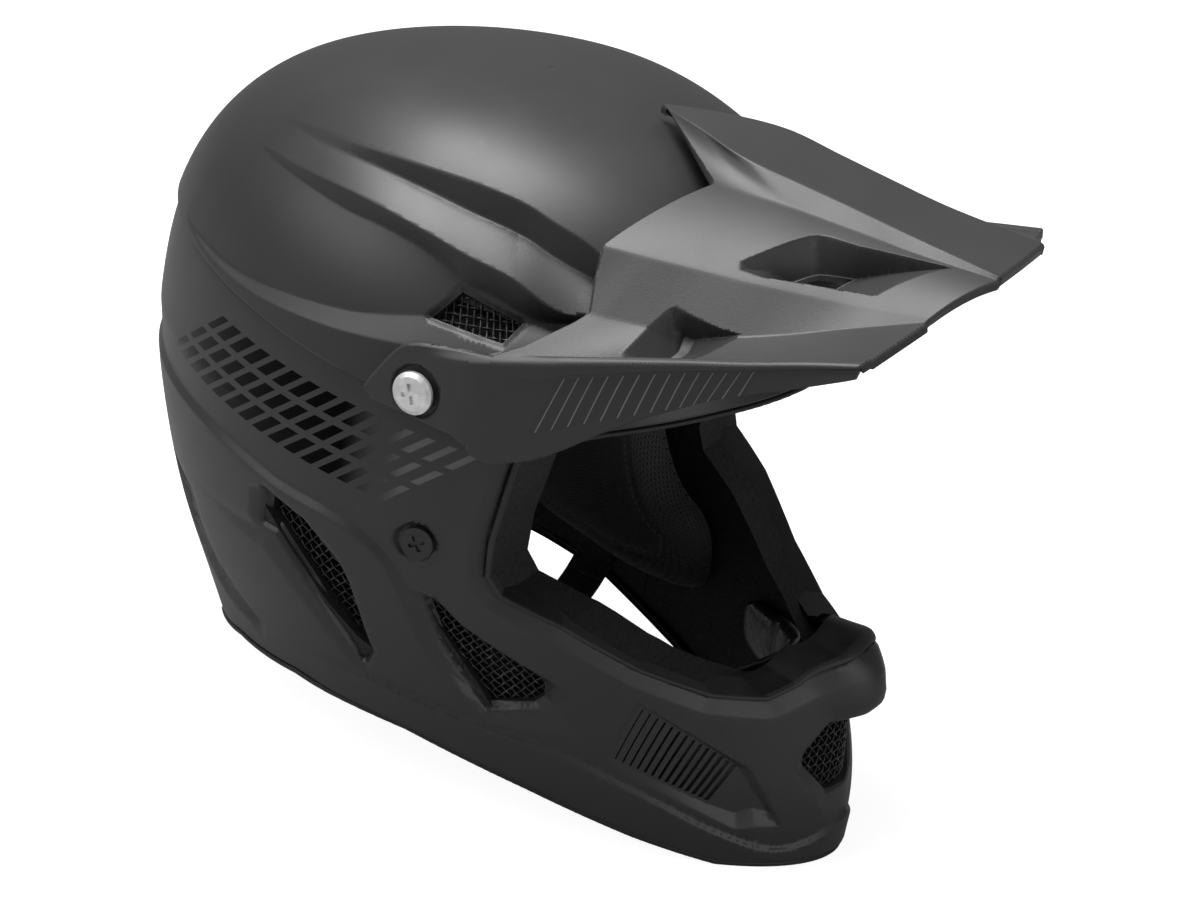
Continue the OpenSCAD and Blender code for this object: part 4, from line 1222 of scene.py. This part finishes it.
# Wires of one direction over an outline: each wire rises and falls as a cosine by 0.85 of its
# radius from crossing to crossing, neighbours in turn; what runs further than wireOver beyond the
# outline is dropped.
def wires(hole, turn, pitch, under, phase):
    c, s = math.cos(math.radians(turn)), math.sin(math.radians(turn))
    middle = (hole.min(0) + hole.max(0)) / 2
    reach = np.linalg.norm(hole.max(0) - hole.min(0)) / 2 + 4
    count = int(reach / pitch)
    along, number = np.arange(-reach, reach, wireStep), np.arange(-count, count + 1)
    way, row = np.meshgrid(along, number)
    q = np.stack([way * c - row * pitch * s, way * s + row * pitch * c], -1) + middle
    lift = 0.85 * wireR * np.cos(np.pi * way / pitch) * np.where((row + phase) % 2 == 0, 1, -1)
    flat = q.reshape(-1, 2)
    u, v = flat.T
    p = onShell(u, v, under(flat) + lift.ravel()).reshape(q.shape[:2] + (3,))
    keep = (inside(flat, hole) > -wireOver).reshape(q.shape[:2])
    tangent = unit(np.gradient(p, axis=1))
    up = unit(onShell(u, v, 1.0) - onShell(u, v, 0.0)).reshape(p.shape)
    side = unit(np.cross(tangent, up))
    up = np.cross(side, tangent)
    a = np.arange(wireSides) * 2 * np.pi / wireSides
    around = np.cos(a)[:, None] * side[:, :, None] + np.sin(a)[:, None] * up[:, :, None]
    ring = p[:, :, None] + wireR * around
    index = np.arange(q.shape[0] * q.shape[1] * wireSides).reshape(q.shape[:2] + (wireSides,))
    both = keep[:, :-1] & keep[:, 1:]
    i0, i1 = index[:, :-1][both], index[:, 1:][both]
    faces = np.stack([i0, i1, np.roll(i1, -1, 1), np.roll(i0, -1, 1)], -1).reshape(-1, 4)
    uv = np.repeat(np.stack([way, row * pitch], -1).reshape(-1, 2), wireSides, 0)
    return ring.reshape(-1, 3), faces, uv


# One set of points, faces and uv from several, the faces counted on.
def joined(parts):
    points, faces, uv = zip(*parts)
    starts = np.cumsum([0] + [len(p) for p in points[:-1]])
    faces = [f + k for f, k in zip(faces, starts)]
    return np.concatenate(points), np.concatenate(faces), np.concatenate(uv)


# The other side's copy: X turned round, and so is the order of each face's corners.
def mirrored(p, f, q):
    return p * np.array([-1, 1, 1]), f[:, ::-1], q


print("scene: screens")
for name, f in screenFacts.items():
    outline = f["hole"]
    if name in wholeScreens:
        half = outline[outline[:, 0] > 0]
        outline = np.concatenate([half, half[::-1] * [-1, 1]])

    # Depth of the screen's surface: the crown's own steps where it is in the crown, less its depth.
    def under(q):
        return (crownSteps(angleOf(q[:, 0]), q[:, 1]) if name in crownScreens else 0) - f["depth"]

    parts = [wires(outline, f["turn"] + 90 * k, f["pitch"], under, k) for k in (0, 1)]
    if name not in wholeScreens:
        parts += [mirrored(*part) for part in parts]
    points, faces, uv = joined(parts)
    used, faces = inUse(len(points), faces)
    makeObject(name, points[used], faces, uv=uv[used], material=wireMetal, nodes=[f["node"]])
    print("  ", name, "faces", len(faces))

# Pads: the angles they span, their low and high lines over that span, thickness, gap to the foam,
# grid, corner radius, sewn line's distance from the edge, number of panels, and the most that they
# swell and the pressure that does it.
padFacts = {
    "cheekPad": {"angles": (50, 106), "low": [[0, 52], [0.4, 46], [1, 58]],
                 "high": [[0, 84], [0.2, 94], [0.34, 118], [0.46, 156], [0.7, 164], [1, 150]],
                 "thick": 24, "seat": 3, "grid": (60, 40), "corner": 13, "seam": cheekSeam, "panels": 0,
                 "puff": 4.0, "press": 14.0},
    "neckPad": {"angles": (116, 244), "low": [[0, 60], [0.5, 40], [1, 60]],
                "high": [[0, 100], [0.5, 84], [1, 100]],
                "thick": 12, "seat": 1.1, "grid": (84, 18), "corner": 12, "seam": 0, "panels": 4,
                "puff": 3.0, "press": 22.0},
    "chinPad": {"angles": (-40, 40), "low": [[0, 46], [0.5, 42], [1, 46]],
                "high": [[0, 68], [0.5, 82], [1, 68]],
                "thick": 9, "seat": 2, "grid": (76, 18), "corner": 9, "seam": 0, "panels": 5,
                "puff": 2.5, "press": 18.0},
}
hemT = 1.6  # thickness at a pad's hem


# Closed quads between a front and a back grid of points.
def closed(m, n):
    k = (np.arange(m - 1)[:, None] * n + np.arange(n - 1)).ravel()
    front = np.stack([k, k + n, k + n + 1, k + 1], 1)
    rim = np.concatenate([np.arange(n - 1), np.arange(m - 1) * n + n - 1,
                          (m - 1) * n + np.arange(n - 1, 0, -1), np.arange(m - 1, 0, -1) * n])
    nxt = np.roll(rim, -1)
    return np.concatenate([front, front[:, ::-1] + m * n, np.stack([rim, nxt, nxt + m * n, rim + m * n], 1)])


# Faces turned so that the volume they close is positive.
def outward(points, faces):
    a, b, c, d = (points[faces[:, k]] for k in range(4))
    volume = np.einsum("ij,ij->i", a, np.cross(b, c)).sum() + np.einsum("ij,ij->i", a, np.cross(c, d)).sum()
    return faces if volume > 0 else faces[:, ::-1]


# Bulge that is 1 in the middle and 0 at both ends.
def crowned(t):
    return (1 - np.abs(2 * t - 1) ** 4) ** 0.6


# A pad's outline runs between its low and high lines with rounded ends; its front rises over its
# back by a crowned swell that drops to a hem, with a sewn line at a distance from the edge or
# between panels.
def padForm(f, side=1):
    m, n = f["grid"]
    span, climb = np.meshgrid(np.linspace(0, 1, m), np.linspace(0, 1, n), indexing="ij")
    a0, a1 = f["angles"]
    low, high = curve(span, f["low"]), curve(span, f["high"])
    a = a0 + (a1 - a0) * span
    middle = at(hollow, a, (low + high) / 2, -f["seat"])
    length = np.linalg.norm(np.diff(middle, axis=0), axis=-1).sum(0).mean()
    far = np.clip(1 - np.minimum(span, 1 - span) * length / f["corner"], 0, 1)
    pull = f["corner"] * (1 - np.sqrt(1 - far ** 2))
    low, high = low + pull, high - pull
    h = low + (high - low) * climb
    back = at(hollow, a, h, -f["seat"])
    tall = np.maximum(high - low, 1)
    edge = np.minimum(np.minimum(span, 1 - span) * length, np.minimum(climb, 1 - climb) * tall)
    swell = crowned(span) * crowned(climb)
    sewn = np.zeros_like(span)
    if f["seam"]:
        sewn = np.exp(-((edge - f["seam"]) / 1.8) ** 2)
    if f["panels"]:
        sewn = np.maximum(sewn, np.abs(np.cos(np.pi * f["panels"] * span)) ** 60 * (edge > 2))
    rise = hemT + (0.86 * f["thick"] - hemT) * swell - 1.6 * sewn * (swell > 0.2)
    front = at(hollow, a, h, -f["seat"] - rise)
    points = np.concatenate([front.reshape(-1, 3), back.reshape(-1, 3)]) * [side, 1, 1]
    faces = outward(points, closed(m, n))
    along = np.linalg.norm(np.diff(front, axis=0), axis=-1).cumsum(0)
    over = np.linalg.norm(np.diff(front, axis=1), axis=-1).cumsum(1)
    along = np.concatenate([np.zeros((1, n)), along]) - along[m // 2 - 1]
    over = np.concatenate([np.zeros((m, 1)), over], 1) - over[:, n // 2 - 1:n // 2]
    uv = np.stack([along, over], -1).reshape(-1, 2)
    edges = np.stack([edge, sewn * 10], -1).reshape(-1, 2)
    pinned = np.concatenate([((sewn > 0.5) | (edge < 0.5)).ravel(), np.ones(m * n, bool)])
    return points, faces, np.concatenate([uv, uv]), np.concatenate([edges, edges]), pinned


clothFacts = {"frames": 20, "quality": 6, "mass": 0.15, "stretch": 8, "bend": 0.3}


# Blows a pad up as cloth that is held at its back, hem and sewn lines, moving no point further
# than cap millimetres.
def inflate(thing, pinned, cap, pressure):
    f, scene = clothFacts, bpy.context.scene
    group = thing.vertex_groups.new(name="held")
    group.add(np.flatnonzero(pinned).tolist(), 1.0, "REPLACE")
    cloth = thing.modifiers.new("cloth", "CLOTH")
    settings = cloth.settings
    settings.quality, settings.mass = f["quality"], f["mass"]
    settings.tension_stiffness = settings.compression_stiffness = f["stretch"]
    settings.bending_stiffness = f["bend"]
    settings.use_pressure, settings.uniform_pressure_force = True, pressure
    settings.vertex_group_mass = "held"
    settings.effector_weights.gravity = 0
    cloth.point_cache.frame_start, cloth.point_cache.frame_end = 1, f["frames"]
    for k in range(1, f["frames"] + 1):
        scene.frame_set(k)
    blown = thing.evaluated_get(bpy.context.evaluated_depsgraph_get()).to_mesh()
    count = len(thing.data.vertices)
    after, before = np.empty(count * 3, np.float32), np.empty(count * 3, np.float32)
    blown.vertices.foreach_get("co", after)
    thing.data.vertices.foreach_get("co", before)
    move = (after - before).reshape(-1, 3)
    far = np.linalg.norm(move, axis=1, keepdims=True)
    move *= np.minimum(1, cap / 1000 / np.maximum(far, 1e-9))
    thing.modifiers.remove(cloth)
    thing.vertex_groups.clear()
    thing.data.vertices.foreach_set("co", (before.reshape(-1, 3) + move).ravel())
    thing.data.update()
    scene.frame_set(1)
    print("  ", thing.name, "moved up to", round(float(far.max()) * 1000, 1), "mm, kept", cap)


# A pad from its form: blown up and rounded once.
def makePad(name, form, f, nodes, material):
    points, faces, uv, edges, pinned = form
    thing = makeObject(name, points, faces, uv=uv, edges=edges, material=material, nodes=nodes)
    inflate(thing, pinned, f["puff"], f["press"])
    sub = thing.modifiers.new("rounding", "SUBSURF")
    sub.levels = sub.render_levels = 1


print("scene: pads")
for name, kind, node, material, side in (
        ("cheekPadLeft", "cheekPad", "cheek_pad_left", padFabric, 1),
        ("cheekPadRight", "cheekPad", "cheek_pad_right", padFabric, -1),
        ("neckPad", "neckPad", "neck_pad", innerFabric, 1),
        ("chinPad", "chinPad", "chin_pad", chinVinyl, 1)):
    makePad(name, padForm(padFacts[kind], side), padFacts[kind], [node], material)

crownPadFacts = {"low": 176, "drop": 14, "thick": 9.0, "seat": 2, "grid": (66, 20), "panels": 6, "puff": 2.5,
                 "press": 3.0, "long": 130}


# Cap over the head in six gores: rings of points from its low edge to the peak, outside and inside.
def crownPadForm(f):
    m, n = f["grid"]
    turn, inward = np.meshgrid(np.linspace(-180, 180, m + 1)[:-1],
                               np.linspace(0, 1, n + 1)[:-1], indexing="ij")
    low = f["low"] - f["drop"] * (1 - np.cos(np.radians(turn))) / 2
    start = np.degrees(np.arcsin((low - domeZ) / hollow["rise"]))
    h = domeZ + hollow["rise"] * np.sin(np.radians(start + (90 - start) * inward))
    sewn = np.abs(np.cos(np.radians(turn) * f["panels"] / 2)) ** 40 * (1 - inward ** 4)
    thick = hemT + (0.84 * f["thick"] - hemT) * (1 - (1 - inward) ** 6) ** 0.6 - 1.5 * sewn
    outer, inner = at(hollow, turn, h, -f["seat"]), at(hollow, turn, h, -f["seat"] - thick)
    top = domeZ + hollow["rise"] - f["seat"]
    peak = np.array([[0, mid - centreF, top], [0, mid - centreF, top - 0.84 * f["thick"]]])
    points = np.concatenate([outer.reshape(-1, 3), inner.reshape(-1, 3), peak])
    i, j = np.meshgrid(np.arange(m), np.arange(n - 1), indexing="ij")
    k, nxt = (i * n + j).ravel(), (((i + 1) % m) * n + j).ravel()
    s = m * n
    wall = np.stack([k, nxt, nxt + 1, k + 1], 1)
    foot = np.arange(m) * n
    hem = np.stack([foot, foot + s, np.roll(foot, -1) + s, np.roll(foot, -1)], 1)
    last, mids, ends = (((np.arange(0, m, 2) + k) % m) * n + n - 1 for k in range(3))
    lid = np.stack([last, mids, ends, np.full(len(last), 2 * s)], 1)
    under = np.stack([last + s, np.full(len(last), 2 * s + 1), ends + s, mids + s], 1)
    faces = np.concatenate([wall, wall[:, ::-1] + s, hem, lid, under])
    away = np.stack([np.radians(turn) * 90, inward * f["long"]], -1).reshape(-1, 2)
    uv = np.concatenate([away, away, [[0, f["long"]]] * 2])
    edge = np.stack([inward * f["long"], sewn * 10], -1).reshape(-1, 2)
    edges = np.concatenate([edge, edge, [[f["long"], 0]] * 2])
    pinned = np.concatenate([np.ones(s, bool), ((sewn > 0.5) | (inward == 0)).ravel(), [True, False]])
    return points, outward(points, faces), uv, edges, pinned


makePad("crownPad", crownPadForm(crownPadFacts), crownPadFacts, ["crown_pad"], innerFabric)

# Straps: width, thickness and reach of the webbing, its ends on the ring's axis (x, height) and the
# radius of the loop round it, and the folded end on the right.
strapFacts = {"wide": 18.0, "thick": 1.6, "reach": 32.0, "ringX": (45.0, 40.4), "ringZ": 15.0, "loop": 2.1,
              "foldStart": (-60.0, 24.0), "foldEnd": (-22.0, 10.0), "foldGap": 1.0}
strapW, strapT, strapF, ringX, ringZ, loopH = (
    strapFacts[k] for k in ("wide", "thick", "reach", "ringX", "ringZ", "loop"))


# Half width of the room for the head at a reach and a height, moved out by d: the form's own
# superellipse, solved for x.
def wallAt(form, f, h, d):
    n, reach = curve(h, forePower), curve(h, form["fore"]) + d
    return (curve(h, form["half"]) + d) * (1 - (np.abs(f - centreF) / reach) ** n) ** (1 / n)


# Strap edges from the anchor by the low screw down the cheek, then through the ends given as
# (distance to the side, height).
def strapRows(side, ends):
    z = np.array([125.0, 112, 99, 86, 73, 59, 45])
    f, edges = strapF + (z - 45) * 0.1375, (strapW / 2, -strapW / 2)
    rows = [np.stack([side * wallAt(hollow, f + e, z, -0.6), f + e, z], -1) for e in edges]
    x, z = np.asarray(ends, float).T
    tail = [np.stack([side * x, np.full(len(x), strapF + e), z], -1) for e in edges]
    return np.concatenate([np.stack(rows, 1), np.stack(tail, 1)])


# Webbing between two edges, rounded along its length, with selvedges a little thinner.
def makeStrap(name, rows, flip, nodes):
    middle = rows.mean(1)
    length = np.concatenate([[0], np.cumsum(np.linalg.norm(np.diff(middle, axis=0), axis=1))])
    t = np.unique(np.concatenate([np.arange(0, length[-1], 1.6), length]))
    edges = np.stack([np.stack([curve(t, np.stack([length, rows[:, e, k]], 1)) for k in range(3)], -1)
                      for e in (0, 1)], 1)
    if flip:
        edges = edges[:, ::-1]
    across = np.linspace(0, 1, 9)
    p = edges[:, :1] * (1 - across[None, :, None]) + edges[:, 1:] * across[None, :, None]
    p[..., 1] = mid - p[..., 1]
    facing = unit(np.cross(unit(np.gradient(p, axis=0)), unit(np.gradient(p, axis=1))))
    thick = strapT * (1 - 0.35 * np.abs(2 * across - 1) ** 8)[None, :, None]
    lower = p - strapT * facing
    m, n = p.shape[:2]
    rise = (strapT - thick) / 2
    points = np.concatenate([(p - rise * facing).reshape(-1, 3), (lower + rise * facing).reshape(-1, 3)])
    faces = outward(points, closed(m, n))
    uv = np.stack(np.broadcast_arrays(t[:, None], across[None, :] * strapW), -1).reshape(-1, 2)
    makeObject(name, points, faces, uv=np.concatenate([uv, uv]), material=webbing, nodes=nodes)
    return round(float(length[-1]))


# The left strap turns round the ring's axis and comes back; the right one folds back over itself.
loopTurn = np.radians(np.arange(15, 166, 15))
leftEnds = [[79, 37], [71.5, 30], [60, 24], [51, ringZ + loopH + 1], [ringX[0], ringZ + loopH],
            [ringX[1], ringZ + loopH]]
around = np.stack([-np.sin(loopTurn), np.cos(loopTurn)], 1)
leftEnds += (np.array([ringX[1], ringZ]) + loopH * around).tolist()
leftEnds += [[ringX[1], ringZ - loopH], [ringX[0], ringZ - loopH], [ringX[0] + 2.5, ringZ - loopH + 0.3],
             [51.8, ringZ + loopH + 0.4]]
foldStart, foldEnd = np.array(strapFacts["foldStart"]), np.array(strapFacts["foldEnd"])
foldGap = strapFacts["foldGap"]
foldTurn = math.atan2(*(foldEnd - foldStart)[::-1])
foldUp = np.array([-math.sin(foldTurn), math.cos(foldTurn)])
turnR = strapT + foldGap / 2
bow = np.radians(np.arange(-75, 76, 15)) + foldTurn
bowPoints = foldEnd + foldUp * foldGap / 2 + turnR * np.stack([np.cos(bow), np.sin(bow)], 1)
below, above = np.stack([foldStart, foldEnd]), np.stack([foldEnd, foldStart + [9, -3.3]])
rightEnds = np.concatenate([[[-79, 37], [-71.5, 30]], below - foldUp * strapT, bowPoints,
                            above + foldUp * (strapT + foldGap)]) * [-1, 1]
print("scene: straps")
print("  lengths", makeStrap("strapLeft", strapRows(1, leftEnds), False, ["strap_left"]),
      makeStrap("strapRight", strapRows(-1, rightEnds), True, ["strap_right"]))

# The photograph's camera, fitted: metres, degrees and millimetres of lens.
cameraFacts = {"target": (0.0, -0.01817, 0.14575), "azimuth": -66.4815, "elevation": 24.7218,
               "roll": -11.2405, "distance": 1.05327, "lens": 79.069, "shift": (0.0065991, -0.0367044)}


# The camera looks at the target from an azimuth and an elevation, turned by the roll.
def makeCamera(facts):
    a, e, roll = (math.radians(facts[k]) for k in ("azimuth", "elevation", "roll"))
    back = np.array([math.sin(a) * math.cos(e), -math.cos(a) * math.cos(e), math.sin(e)])
    right = np.array([math.cos(a), math.sin(a), 0])
    up = np.cross(back, right)
    x = right * math.cos(roll) - up * math.sin(roll)
    y = right * math.sin(roll) + up * math.cos(roll)
    data = bpy.data.cameras.new("camera")
    data.lens, data.sensor_width = facts["lens"], 36
    data.shift_x, data.shift_y = facts["shift"]
    data.clip_start, data.clip_end = 0.05, 20
    cam = bpy.data.objects.new("camera", data)
    place = np.eye(4)
    place[:3, 0], place[:3, 1], place[:3, 2] = x, y, back
    place[:3, 3] = np.array(facts["target"]) + facts["distance"] * back
    cam.matrix_world = Matrix(place.tolist())
    bpy.context.scene.collection.objects.link(cam)
    bpy.context.scene.camera = cam


# Lights in metres and watts
lampFacts = {
    "overhead": {"place": (0.0, 0.3, 1.6), "aim": (0, 0, 0.15), "size": 0.9, "power": 33},
    "side": {"place": (-1.2, 1.0, 1.15), "aim": (0, 0, 0.14), "size": 1.3, "power": 13},
    "front": {"place": (-0.7, -1.8, 0.35), "aim": (0, 0, 0.14), "size": 1.0, "power": 7},
}


# A square light at a place, turned to its aim.
def areaLight(name, place, aim, size, power):
    data = bpy.data.lights.new(name, "AREA")
    data.energy, data.size = power, size
    lamp = bpy.data.objects.new(name, data)
    p, t = np.array(place, float), np.array(aim, float)
    z = unit(p - t)
    x = unit(np.cross([0, 0, 1.0], z))
    m = np.eye(4)
    m[:3, 0], m[:3, 1], m[:3, 2], m[:3, 3] = x, np.cross(z, x), z, p
    lamp.matrix_world = Matrix(m.tolist())
    bpy.context.scene.collection.objects.link(lamp)


# Floor and world: greys of the floor as the camera and as the object sees it, strengths of its glow
# and of the world's dim and white light, and how much of the white reflections see.
floorFacts = {"half": 6.0, "shade": 0.4, "bounce": 0.3, "glow": 0.92, "mirror": 0.15}
worldFacts = {"dim": 0.1, "white": 1.0, "mirror": 0.15}


# How much of the white a ray sees: all of it from the camera, a part of it in reflections and
# through clear things.
def whiteShare(tree, part):
    ray = tree.outputs(tree.node("LightPath"))
    return ray["Is Camera Ray"] + (ray["Is Glossy Ray"] + ray["Is Transmission Ray"]) * part


# White to the camera, with the shadow kept, and dimmer to the object's shaded side.
def makeFloor(f):
    s = f["half"]
    mesh = bpy.data.meshes.new("floor")
    mesh.from_pydata([(-s, -s, 0), (s, -s, 0), (s, s, 0), (-s, s, 0)], [], [(0, 1, 2, 3)])
    thing = bpy.data.objects.new("floor", mesh)
    bpy.context.scene.collection.objects.link(thing)
    p = Paint("floorPaint")
    shown, seen = (p.node("BsdfDiffuse", {}, {0: (f[k],) * 3}) for k in ("shade", "bounce"))
    lit = p.node("AddShader", {}, {0: shown, 1: p.node("Emission", {}, {"Strength": f["glow"]})})
    p.surface(p.node("MixShader", {}, {0: whiteShare(p, f["mirror"]), 1: seen, 2: lit}), "Material Output")
    p.tree.nodes.remove(p.shader)
    mesh.materials.append(p.material)


# Dim to the object and white to the camera.
def makeWorld(f):
    world = bpy.data.worlds.new("world")
    bpy.context.scene.world = world
    world.use_nodes = True
    tree = Tree(world.node_tree)
    tree.tree.nodes.remove(tree.tree.nodes["Background"])
    dim, white = (tree.node("Background", {}, {"Color": (1, 1, 1), "Strength": f[k]})
                  for k in ("dim", "white"))
    share = whiteShare(tree, f["mirror"])
    tree.surface(tree.node("MixShader", {}, {0: share, 1: dim, 2: white}), "World Output")


print("scene: camera, light and floor")
makeCamera(cameraFacts)
makeFloor(floorFacts)
for name, lamp in lampFacts.items():
    areaLight(name, **lamp)
makeWorld(worldFacts)
bpy.context.scene.view_settings.view_transform = "Standard"
